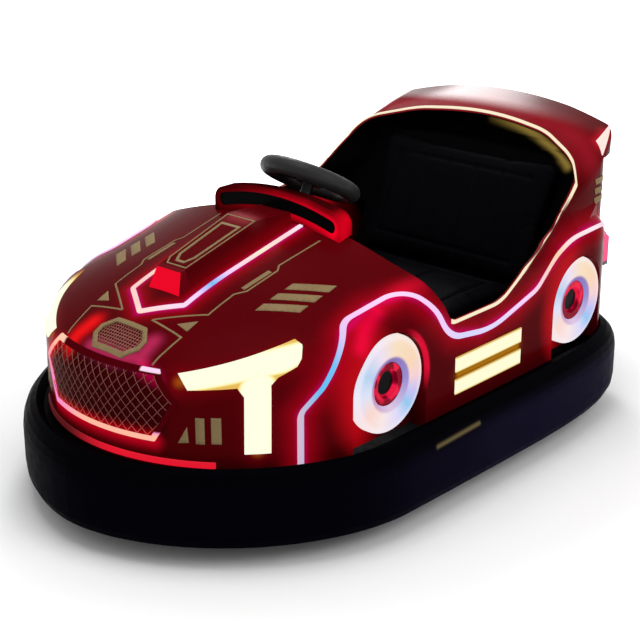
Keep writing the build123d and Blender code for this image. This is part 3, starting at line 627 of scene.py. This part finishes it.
def spine_glow():
    """Red lens lit on its front face only."""
    lamp = lit("spine_red_lens")
    front = min(nodes["spine_lens"].data.polygons, key=lambda face: face.normal.y)
    offset = lamp.vector("SUBTRACT", lamp.place, tuple(front.center))
    behind = lamp.vector("DOT_PRODUCT", offset, tuple(-front.normal))
    lamp.glow(lamp.mix(lamp.spread(behind, 0.0002, 0.0006), (0.80, 0.001, 0.018), (0.06, 0.0, 0.002)))
    lamp.mottle((0.07, 0.001, 0.003), (0.05, 0.001, 0.002), scale=20)
    return lamp


def tail_glow():
    """Pink lens over a plain grey foot; the foot's grey is a painted glow."""
    lamp = lit("tail_pink_lens")
    lens = lamp.spread(lamp.axis(2), 0.462, 0.467)
    # the foot's grey is a painted glow; the foot is no lamp
    lamp.glow(lamp.mix(lens, (0.10, 0.10, 0.11), (0.95, 0.085, 0.24)))
    return lamp


def bumper_rubber():
    """Black rubber with a painted violet sheen on its upright face, fading out towards the front and left off the
    top.
    """
    rubber = Finish("bumper_black_rubber", (0.004, 0.004, 0.007), roughness=0.4)
    # painted sheen: violet on the upright face, darker towards the front, none on the top
    side = rubber.mix(rubber.noise(6), (0.0040, 0.0028, 0.011), (0.0065, 0.0048, 0.017))
    length, height = rubber.axis(1), rubber.axis(2)
    face = rubber.mix(rubber.spread(length, -0.62, 0.30), (0.0010, 0.0008, 0.0022), side)
    rubber.colour(rubber.mix(rubber.spread(height, 0.195, 0.255), face, (0.0008, 0.0008, 0.0014)))
    # painted highlight streak
    rubber.glow(painted_light_by(rubber, rubber.place, ((bumper_painted_highlight, ((0.014, (0.12, 0.09, 0.035)),)),)))
    rubber.grain(30, 0.34, 0.48)
    rubber.bump(rubber.noise(420, 3), 0.0004, 0.08)
    rubber.set(specular_ior_level=0.004, specular_tint=(0.5, 0.45, 0.9))
    return rubber


def moulded_black(name, shade=0.012, roughness=0.5, gloss=0.12):
    plastic = Finish(name, (shade,) * 3, roughness=roughness)
    plastic.mottle((shade, shade, shade * 1.1), (shade * 0.6,) * 3, scale=9)
    plastic.grain(60, roughness - 0.08, roughness + 0.1)
    plastic.bump(plastic.noise(700, 2), 0.0003, 0.2)
    plastic.set(specular_ior_level=gloss)
    return plastic


def metal(name, light, dark, roughness=0.35):
    steel = Finish(name, light, roughness=roughness, metallic=1.0)
    steel.mottle(light, dark, scale=12)
    steel.grain(120, roughness - 0.1, roughness + 0.12)
    steel.bump(steel.noise(360, 2), 0.0002, 0.12)
    return steel


def powder_coat():
    coat = Finish("pan_powder_coat", (0.003, 0.003, 0.0035), roughness=0.5)
    chips = coat.spread(coat.noise(26, 8), 0.68, 0.72)
    coat.colour(coat.mix(chips, coat.mix(coat.noise(8), (0.0025, 0.0025, 0.003), (0.004, 0.004, 0.004)),
                         (0.03, 0.018, 0.012)))
    coat.set(specular_ior_level=0.02)
    coat.grain(40, 0.42, 0.6)
    coat.bump(coat.noise(520, 2), 0.0004, 0.25)
    return coat


def tyre_rubber():
    tyre = Finish("wheel_tyre_rubber", (0.03, 0.03, 0.03), roughness=0.8)
    tyre.mottle((0.04, 0.039, 0.037), (0.018, 0.018, 0.018), scale=25, detail=6)
    tyre.grain(60, 0.7, 0.9)
    tyre.bump(tyre.noise(300, 4), 0.0006, 0.4)
    return tyre


def vinyl():
    """Black seat vinyl with a fine leather grain."""
    hide = Finish("seat_black_vinyl", (0.0016, 0.0016, 0.0024), roughness=0.45)
    hide.mottle((0.0020, 0.0020, 0.0030), (0.0012, 0.0012, 0.0018), scale=14)
    cells = hide.add("ShaderNodeTexVoronoi", feature="DISTANCE_TO_EDGE")
    hide.feed(cells.inputs["Vector"], hide.place)
    cells.inputs["Scale"].default_value = 420
    hide.bump(hide.math("ADD", cells.outputs["Distance"], hide.product(hide.noise(30), 0.4)), 0.0008, 0.35)
    hide.grain(22, 0.38, 0.52)
    hide.set(specular_ior_level=0.008)
    return hide


def lit(name, colour=(1, 1, 1)):
    """A lit diffuser; the lamps of more than one colour set their own glow."""
    lamp = Finish(name, (0.02, 0.02, 0.02), roughness=0.3)
    lamp.mottle((0.02, 0.02, 0.02), (0.04, 0.04, 0.04), scale=30)
    lamp.grain(50, 0.25, 0.35)
    lamp.bump(lamp.noise(400, 2), 0.0002, 0.1)
    lamp.set(specular_ior_level=0.01)
    lamp.glow(colour)
    return lamp


flank_neon = (
    (0.00, (0.95, 0.45, 0.42)), (0.055, (0.10, 0.50, 0.90)),
    (0.085, (0.14, 0.52, 0.90)), (0.12, (0.66, 0.56, 0.90)),
    (0.16, (0.93, 0.55, 0.90)), (0.27, (0.96, 0.66, 0.97)),
    (0.34, (0.88, 0.58, 0.92)), (0.42, (0.66, 0.64, 0.98)),
    (0.52, (0.74, 0.66, 0.98)), (0.64, (0.94, 0.60, 0.94)),
    (0.70, (0.95, 0.60, 0.55)), (0.74, (0.97, 0.63, 0.42)),
    (0.79, (0.96, 0.72, 0.72)), (0.90, (0.97, 0.78, 0.88)),
    (1.00, (0.66, 0.34, 0.50)),
)
hood_neon = (
    (0.00, (0.97, 0.70, 0.58)), (0.10, (0.95, 0.70, 0.85)),
    (0.23, (0.90, 0.62, 0.95)), (0.29, (0.45, 0.50, 0.98)),
    (0.33, (0.14, 0.50, 0.90)), (0.37, (0.45, 0.50, 0.98)),
    (0.45, (0.93, 0.62, 0.97)), (0.56, (0.97, 0.68, 0.72)),
    (0.68, (0.97, 0.80, 0.62)), (0.84, (0.97, 0.66, 0.66)),
    (1.00, (0.95, 0.78, 0.92)),
)


def drift(tube, front, rear, stops):
    """Colours that change along the car, from a front end to a rear end."""
    return tube.ramp(tube.spread(tube.axis(1), front, rear, easing="LINEAR"), stops)


def flank_light():
    tube = lit("flank_neon")
    tube.glow(drift(tube, -0.62, 0.88, flank_neon))
    return tube


def hood_light():
    """The hood's neon: its left arm drifts through blue, its right arm stays peach."""
    tube = lit("hood_neon")
    left_arm = drift(tube, -0.70, -0.16, hood_neon)
    right_arm = tube.mix(tube.noise(6), (0.97, 0.55, 0.45), (0.97, 0.66, 0.62))
    tube.glow(tube.mix(tube.spread(tube.axis(0), -0.01, -0.03), left_arm, right_arm))
    return tube


def headlamp_light():
    """Cream diffuser with a thin golden edge; the right lamp's outer end is dim."""
    lamp = lit("headlamp_diffuser")
    x, _, z = lamp.split(lamp.both_sides())
    flat = lamp.join(x, 0, z)
    paths = [[(x, 0, z) for x, _, z in path] for path in (head_bar, head_stem)]
    gap = lamp.math("MINIMUM", *[lamp.distance(flat, path) for path in paths])
    shade = lamp.ramp(lamp.spread(gap, 0.016, 0.034), (
        (0, (0.97, 0.98, 0.76)), (0.6, (0.97, 0.97, 0.68)), (0.9, (0.95, 0.78, 0.25)), (1, (0.80, 0.48, 0.08)),
    ))
    right_end = lamp.spread(lamp.axis(0), -0.405, -0.43)
    lamp.glow(lamp.mix(right_end, shade, (0.16, 0.004, 0.006)))
    return lamp


def bar_light():
    """Two cream bars with golden edges."""
    lamp = lit("side_bar_diffuser")
    half = 0.023
    offsets = [lamp.math("SUBTRACT", lamp.axis(2), height) for height in side_bars]
    gap = lamp.math("MINIMUM", *[lamp.math("ABSOLUTE", offset) for offset in offsets])
    edge = lamp.spread(gap, half * 0.6, half)
    lamp.glow(lamp.ramp(edge, ((0, (0.98, 0.95, 0.66)), (0.7, (0.95, 0.86, 0.45)), (1, (0.62, 0.38, 0.08)))))
    return lamp


def ring_light():
    """Pearly lamp rings: cream, lilac and pale blue patches round a lavender dish with painted shade at its top and
    painted light at its bottom.
    """
    lamp = lit("ring_pearl_diffuser")
    shade = None
    _, y, z = lamp.split(lamp.place)
    for ring in rings:
        across, up = lamp.math("SUBTRACT", y, ring[0]), lamp.math("SUBTRACT", z, ring[1])
        turn = lamp.math("DIVIDE", lamp.math("ARCTAN2", up, across), 2 * math.pi)
        turn = lamp.math("FRACT", lamp.math("ADD", turn, 1.0))
        out = lamp.math("DIVIDE", lamp.from_ring(ring), ring_radius)
        face = lamp.ramp(turn, (
            (0.00, (0.90, 0.62, 0.62)), (0.08, (0.92, 0.66, 0.46)),
            (0.22, (0.91, 0.72, 0.52)), (0.32, (0.82, 0.72, 0.86)),
            (0.42, (0.44, 0.62, 0.84)), (0.50, (0.70, 0.74, 0.92)),
            (0.60, (0.93, 0.66, 0.60)), (0.70, (0.93, 0.78, 0.78)),
            (0.80, (0.70, 0.68, 0.92)), (0.87, (0.28, 0.55, 0.84)),
            (0.93, (0.55, 0.52, 0.88)), (1.00, (0.90, 0.62, 0.62)),
        ))
        face = lamp.mix(lamp.spread(out, 0.82, 0.97, 0.0, 0.55), face, (0.93, 0.86, 0.93))
        # the dish: painted shade at its top, painted light at its bottom
        dish = lamp.ramp(turn, (
            (0.0, (0.30, 0.25, 0.62)), (0.25, (0.22, 0.14, 0.44)), (0.5, (0.46, 0.20, 0.44)),
            (0.75, (0.70, 0.55, 0.75)), (1.0, (0.30, 0.25, 0.62)),
        ))
        whole = lamp.mix(lamp.spread(out, 0.52, 0.60), dish, face)
        shade = whole if shade is None else lamp.mix(lamp.spread(y, 0.1, 0.2), shade, whole)
    lamp.glow(shade)
    return lamp


def ring_hub():
    """Red gloss hub with a painted glow on its red ring, stronger in painted light patches, and a black middle."""
    hub = Finish("ring_hub_gloss", (0.2, 0.002, 0.01), roughness=0.2)
    gap = hub.math("MINIMUM", *[hub.from_ring(ring) for ring in rings])
    rim = hub.product(hub.spread(gap, 0.030, 0.038), hub.spread(gap, 0.0615, 0.058))
    hub.colour(hub.mix(rim, (0.0015, 0.0015, 0.002), (0.16, 0.001, 0.008)))
    # painted light: the hub is no lamp; its red ring glows dimly, brighter in patches
    patches = hub.spread(hub.noise(22, 1), 0.46, 0.60)
    dim = hub.dimmed(rim, (0.10, 0.0, 0.008))
    hub.glow(hub.mix(hub.product(rim, patches), dim, (0.70, 0.01, 0.05)))
    hub.grain(50, 0.15, 0.3)
    hub.bump(hub.noise(500, 2), 0.0002, 0.1)
    hub.set(specular_ior_level=0.03)
    return hub


def gold_film():
    film = Finish("decal_gold_film", (0.20, 0.14, 0.07), roughness=0.42)
    film.mottle((0.215, 0.15, 0.078), (0.165, 0.108, 0.052), scale=26)
    film.grain(90, 0.36, 0.5)
    film.bump(film.noise(800, 2), 0.0001, 0.1)
    film.set(specular_ior_level=0.01)
    # painted glow: the film is no lamp
    film.glow((0.036, 0.028, 0.012))
    return film


def dress_nodes(copper, tyre):
    """A finish for every CAD node but the seat's pads."""
    wear(paint(), "hood_body", "tail_body", "flank_left", "flank_right", "hood_spine")
    wear(cowl_paint(), "cowl")
    wear(bumper_rubber(), "bumper_ring")
    wear(moulded_black("visor_gloss_black", 0.003, 0.3, 0.008), "cowl_visor")
    wear(powder_coat(), "chassis_pan", "rear_axle", "steer_fork")
    wear(tyre, "drive_tyre", "rear_tyre_left", "rear_tyre_right")
    aluminium = metal("hub_cast_aluminium", (0.5, 0.5, 0.52), (0.32, 0.32, 0.33))
    wear(aluminium, "drive_hub", "rear_hub_left", "rear_hub_right")
    wear(metal("shaft_blackened_steel", (0.04, 0.04, 0.042), (0.02, 0.02, 0.021), 0.45), "steering_shaft")
    wear(liner_black(), "cockpit_liner", "back_panel")
    wear(moulded_black("cockpit_black_plastic", 0.002, 0.6, 0.006), "column_tube", "seat_base", "pedal")
    wear(moulded_black("steering_grip_black", 0.020, 0.42), "steering_wheel")
    wear(moulded_black("battery_case_black", 0.03, 0.45), "battery")
    wear(headlamp_light(), "headlamp_left", "headlamp_right")
    wear(bar_light(), "side_lamps_left", "side_lamps_right")
    wear(flank_light(), "neon_left", "neon_right")
    wear(hood_light(), "hood_strip")
    wear(grille_light(), "grille_strip")
    wear(edge_light(), "cockpit_strip")
    wear(lip_glow(), "lip_light")
    wear(spine_glow(), "spine_lens")
    wear(tail_glow(), "tail_lamps")
    wear(lit("wing_white_lens", (0.97, 0.78, 0.72)), "wing_lamps")
    wear(ring_light(), "ring_lamps_left", "ring_lamps_right")
    wear(ring_hub(), "ring_hubs_left", "ring_hubs_right")
    wear(copper, "grille_mesh")


# ---------- decals
def fit_decals(gold):
    """Slashes and lines on the hood, marks on nose and tail, and two outlines on the hood's spine."""
    hood = skin_of("hood_body", "hood_spine")
    flank = skin_of("tail_body", "flank_left")
    slashes = [
        [(0.277, y), (0.369, y + 0.076), (0.367, y + 0.112), (0.276, y + 0.034)] for y in (-0.533, -0.476, -0.419)
    ]
    decal("hood_slashes", slashes, "above", hood, gold)
    line = 0.0054
    hood_lines = band([(0.171, -0.806), (0.181, -0.711), (0.059, -0.703)], line)
    hood_lines += band([(0.059, -0.703), (0.187, -0.617), (0.187, -0.52), (0.206, -0.49), (0.206, -0.37),
                        (0.192, -0.35), (0.200, -0.190)], line)
    hood_lines += band([(0.190, -0.490), (0.192, -0.385)], 2.6 * line)
    hood_lines.append([(0.181, -0.690), (0.182, -0.648), (0.137, -0.684)])
    decal("hood_lines", hood_lines, "above", hood, gold)
    nose_marks = [
        [(0.300, 0.327), (0.320, 0.327), (0.320, 0.401), (0.300, 0.401)],
        [(0.334, 0.329), (0.355, 0.329), (0.355, 0.403), (0.334, 0.403)],
        [(0.258, 0.325), (0.284, 0.329), (0.281, 0.374)],
    ]
    decal("nose_marks", nose_marks, "front", skin_of("hood_body", "flank_left"), gold)
    tail_marks = [
        [(0.799, z), (0.874, z - 0.004), (0.876, z - 0.023), (0.806, z - 0.021)] for z in (0.748, 0.717, 0.687)
    ]
    decal("tail_marks", tail_marks, "left", flank, gold, lift=0.0014, pitch=0.006)
    panel = [(-0.054, -0.303), (-0.046, -0.535), (-0.032, -0.559), (0.042, -0.559), (0.053, -0.303)]
    window = [(-0.034, -0.345), (-0.030, -0.512), (-0.014, -0.540), (0.014, -0.540), (0.027, -0.512),
              (0.033, -0.345)]
    decal("panel_outline", band(panel, 0.0050, closed=True), "above", hood, gold, both=False)
    decal("panel_window_outline", band(window, 0.0095, closed=True), "above", hood, gold, both=False)


# ---------- small parts
def tube(shape, points, radius, sides=6):
    """Adds a round bar with closed ends along a line of points."""
    rounds = []
    for index, point in enumerate(points):
        before, after = points[max(0, index - 1)], points[min(len(points) - 1, index + 1)]
        turn = (after - before).to_track_quat("Z", "Y")
        rounds.append([
            shape.verts.new(point + turn @ (radius * Vector((math.cos(a), math.sin(a), 0))))
            for a in (2 * math.pi * side / sides for side in range(sides))
        ])
    for low, high in zip(rounds, rounds[1:]):
        for side in range(sides):
            shape.faces.new([low[side], low[(side + 1) % sides], high[(side + 1) % sides], high[side]])
    shape.faces.new(list(reversed(rounds[0])))
    shape.faces.new(rounds[-1])


def turned(shape, profile, place, facing, steps=24, closed=False):
    """Adds a form turned about an axis; a profile row is a radius and a height along the axis."""
    form = bmesh.new()
    row = [form.verts.new((radius, 0, height)) for radius, height in profile]
    edges = [form.edges.new(pair) for pair in zip(row, row[1:])]
    if closed:
        edges.append(form.edges.new((row[-1], row[0])))
    bmesh.ops.spin(form, geom=row + edges, axis=(0, 0, 1), cent=(0, 0, 0), dvec=(0, 0, 0), angle=2 * math.pi,
                   steps=steps, use_merge=True, use_duplicate=False)
    bmesh.ops.remove_doubles(form, verts=form.verts, dist=1e-6)
    bmesh.ops.recalc_face_normals(form, faces=form.faces)
    turn = Vector(facing).to_track_quat("Z", "Y").to_matrix().to_4x4()
    bmesh.ops.transform(form, matrix=Matrix.Translation(place) @ turn, verts=form.verts)
    mesh = bpy.data.meshes.new("turned")
    form.to_mesh(mesh)
    form.free()
    shape.from_mesh(mesh)
    bpy.data.meshes.remove(mesh)


sunk = 0.001


def screw(radius, height):
    """Profile of a socket-headed screw."""
    return [(0, 0.45 * height), (0.42 * radius, 0.45 * height), (0.46 * radius, height),
            (0.85 * radius, 0.92 * height), (radius, 0.4 * height), (radius, -sunk), (0, -sunk)]


def grille_half_width(z):
    """Half width of the grille's opening, inside its neon."""
    low, middle, high = (grille_low, 0.199), (grille_middle, 0.265), (grille_high, 0.197)
    neon_width = 0.016
    start, end = (low, middle) if z < grille_middle else (middle, high)
    share = (z - start[0]) / (end[0] - start[0])
    return start[1] + share * (end[1] - start[1]) - neon_width


def weave_grille(finish):
    """Crossed wires over the grille's opening, one set in front of the other."""
    nose = skin_of("hood_body")
    shape = bmesh.new()
    low, high = 0.338, 0.499
    pitch, steepness, wire_radius = 0.030, 1.15, 0.0011
    start, along = VIEWS["front"]
    steps, wires_each_side = 40, 20
    for lean, lift in ((1, 0.0022), (-1, 0.0038)):
        for number in range(-wires_each_side, wires_each_side + 1):
            run = []
            for step in range(steps + 1):
                z = low + (high - low) * step / steps
                x = number * pitch + lean * (z - low) / steepness
                if abs(x) < grille_half_width(z):
                    run.append(pressed(nose, start(x, z), along, lift))
            if len(run) > 2:
                tube(shape, run, wire_radius)
    weave = fit(piece_from(shape, "grille_weave"), "car", finish, smooth=50)
    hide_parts("grille_mesh")


def fit_badge(gold, wires):
    """A plain raised badge over the grille: an eight-sided frame round fine mesh."""
    hood = skin_of("hood_body", "hood_spine")
    middle, wide, deep, cut = Vector((0.018, -0.780)), 0.084, 0.042, 0.030
    strand, pitch_across, pitch_along = 0.0028, 0.0098, 0.0088
    corners = [(-wide, cut - deep), (cut - wide, -deep), (wide - cut, -deep), (wide, cut - deep),
               (wide, deep - cut), (wide - cut, deep), (cut - wide, deep), (-wide, deep - cut)]
    frame_line = [middle + Vector(corner) for corner in corners]
    decal("badge_frame", band(frame_line, 0.013, closed=True), "above", hood, gold, both=False, lift=0.001,
          depth=0.005)
    strands = []
    for number in range(-8, 9):
        x = number * pitch_across
        reach = min(deep, deep + wide - cut - abs(x))
        strands += band([middle + Vector((x, -reach)), middle + Vector((x, reach))], strand)
    decal("badge_mesh_upright", strands, "above", hood, wires, both=False, lift=0.001, depth=0.0015)
    strands = []
    for number in range(-4, 5):
        y = number * pitch_along
        reach = min(wide, wide + deep - cut - abs(y))
        strands += band([middle + Vector((-reach, y)), middle + Vector((reach, y))], strand)
    decal("badge_mesh_across", strands, "above", hood, wires, both=False, lift=0.0026, depth=0.0015)


def reach_along(name, axis, origin, within):
    """How far a node reaches from origin along an axis, counting what lies within a radius of it."""
    axis, origin = Vector(axis), Vector(origin)
    reaches = []
    for vertex in nodes[name].data.vertices:
        along = (vertex.co - origin).dot(axis)
        if (vertex.co - origin - along * axis).length < within:
            reaches.append(along)
    return max(reaches)


def dress_steering(black, steel):
    """A cap over the steering wheel's nut, and three screws round it."""
    hub = Vector((0, -0.014, 0.826))
    axis = Vector((0, 0.5, math.sqrt(0.75)))
    boss_radius = 0.036
    top = reach_along("steering_wheel", axis, hub, boss_radius)
    cap = bmesh.new()
    turned(cap, [(0, 0.012), (0.012, 0.0115), (0.022, 0.009), (0.030, 0.004), (0.033, -sunk), (0, -sunk)],
           hub + top * axis, axis, steps=40)
    fit(piece_from(cap, "steering_cap"), "steering", black, smooth=45)
    screws = bmesh.new()
    right, back = Vector((1, 0, 0)), Vector((0, axis.z, -axis.y))
    circle, seat = 0.050, 0.006
    for turn in map(math.radians, (90, 210, 330)):
        way = math.cos(turn) * right + math.sin(turn) * back
        turned(screws, screw(0.006, 0.004), hub + circle * way + seat * axis, axis, steps=14)
    fit(piece_from(screws, "steering_screws"), "steering", steel, smooth=40)


def dress_wheels(steel, rubber):
    """Wheel bolts and a moulded rib round each tyre's two walls."""
    bolts, rib_height = 5, 0.0012
    for tyre, hub, body, way in (
        ("rear_tyre_left", "rear_hub_left", "rear_wheel_left", 1),
        ("rear_tyre_right", "rear_hub_right", "rear_wheel_right", -1),
        ("drive_tyre", "drive_hub", "drive_wheel", 1),
    ):
        low, high = span(vertex.co for vertex in nodes[tyre].data.vertices)
        middle = (low + high) / 2
        radius, half = (high.z - low.z) / 2, (high.x - low.x) / 2
        rib = [(0.80 * radius, -2 * sunk), (0.83 * radius, -2 * sunk), (0.825 * radius, rib_height),
               (0.805 * radius, rib_height)]
        ribs = bmesh.new()
        for side in (-1, 1):
            turned(ribs, rib, middle + Vector((side * half, 0, 0)), (side, 0, 0), steps=48, closed=True)
        fit(piece_from(ribs, tyre + "_wall_ribs"), body, rubber, smooth=40)
        face = reach_along(hub, (way, 0, 0), middle, 0.5 * radius)
        heads = bmesh.new()
        for number in range(bolts):
            turn = 2 * math.pi * number / bolts
            spot = Vector((way * face, 0.30 * radius * math.cos(turn), 0.30 * radius * math.sin(turn)))
            turned(heads, screw(0.005, 0.004), middle + spot, (way, 0, 0), steps=12)
        fit(piece_from(heads, hub + "_bolts"), body, steel, smooth=40)


# ---------- soft seat
growth = 0.022        # how much smaller than its CAD pad a pad is before it is blown up
most_blown = 0.026
voxel = 0.006
pressure, frames = 4, 20
underside_cut = 0.014  # how far the blown underside reaches below the seat it is flattened on
margin = 0.002
seam_depth, seam_width = 0.006, 0.006


def baked(piece, modifier):
    """Makes what a modifier shows the piece's own mesh."""
    shown = piece.evaluated_get(bpy.context.evaluated_depsgraph_get())
    mesh = bpy.data.meshes.new_from_object(shown)
    piece.modifiers.remove(modifier)
    piece.data = mesh


def groove(spot, start, end):
    """How deep a seam from start to end pulls a spot in."""
    start, run = Vector(start), Vector(end) - Vector(start)
    off = spot.xy - start
    along = min(1.0, max(0.0, off.dot(run) / run.length_squared))
    return seam_depth * math.exp(-(((off - along * run).length / seam_width) ** 2))


def stuffed(name, node, facing, seams, finish):
    """A stuffed pad in a CAD pad's space: blown up like cloth, crowned, flat where it rests, then sewn."""
    facing = Vector(facing).normalized()
    across = Vector((1, 0, 0))
    turn = Matrix((across, facing.cross(across), facing)).transposed()
    home = turn.inverted()
    mesh = nodes[node].data.copy()
    mesh.materials.clear()
    pad = bpy.data.objects.new(name, mesh)
    scene.collection.objects.link(pad)
    places = [home @ vertex.co for vertex in mesh.vertices]
    low, high = span(places)
    middle, size = (low + high) / 2, high - low
    smaller = Vector([(length - growth) / length for length in size])
    for vertex, place in zip(mesh.vertices, places):
        vertex.co = middle + (place - middle) * smaller
    remesh = pad.modifiers.new("remesh", "REMESH")
    remesh.mode = "VOXEL"
    remesh.voxel_size = voxel
    baked(pad, remesh)
    before = [vertex.co.copy() for vertex in pad.data.vertices]
    cloth = pad.modifiers.new("cloth", "CLOTH")
    cloth.settings.use_pressure = True
    cloth.settings.uniform_pressure_force = pressure
    cloth.settings.effector_weights.gravity = 0
    for number in range(1, frames + 1):
        scene.frame_set(number)
    baked(pad, cloth)
    scene.frame_set(1)
    moves = [vertex.co - start for vertex, start in zip(pad.data.vertices, before)]
    share = min(1.0, most_blown / max(move.length for move in moves))
    places = [start + share * move for start, move in zip(before, moves)]
    bottom, top = span(places)
    goal_low = low + Vector((margin, margin, -underside_cut))
    goal_high = high - Vector((margin, margin, margin / 2))
    for vertex, place in zip(pad.data.vertices, places):
        spot = Vector([
            start + (here - least) / (most - least) * (end - start)
            for here, least, most, start, end in zip(place, bottom, top, goal_low, goal_high)
        ])
        spot.z = max(spot.z, low.z + margin / 4)
        if spot.z > middle.z:
            spot.z -= sum(groove(spot - middle, *seam) for seam in seams)
        vertex.co = turn @ spot
    rounder = pad.modifiers.new("rounder", "SUBSURF")
    rounder.levels = rounder.render_levels = 1
    fit(pad, "car", finish)
    pad.data.shade_smooth()
    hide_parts(node)


def sewn(half_width, half_depth, channels):
    """Seam lines: a border, and channels between its ends."""
    corners = [(-half_width, -half_depth), (half_width, -half_depth), (half_width, half_depth),
               (-half_width, half_depth)]
    lines = list(zip(corners, corners[1:] + corners[:1]))
    return lines + [((x, -half_depth), (x, half_depth)) for x in channels]


def fit_seat():
    hide = vinyl()
    lean = math.radians(24)
    stuffed("seat_cushion_pad", "seat_cushion", (0, 0, 1), sewn(0.27, 0.125, (-0.09, 0.09)), hide)
    stuffed("seat_back_pad", "seat_back", (0, -math.cos(lean), math.sin(lean)),
            sewn(0.27, 0.14, (-0.162, -0.054, 0.054, 0.162)), hide)


def build():
    set_camera()
    set_lamps()
    set_world()
    lay_floor()
    copper, gold, tyre = wire(), gold_film(), tyre_rubber()
    steel = metal("screw_zinc_plate", (0.55, 0.55, 0.56), (0.38, 0.38, 0.39), 0.3)
    dress_nodes(copper, tyre)
    fit_decals(gold)
    weave_grille(copper)
    fit_badge(gold, copper)
    dress_steering(moulded_black("steering_cap_black", 0.012, 0.35), steel)
    dress_wheels(steel, tyre)
    fit_seat()


build()
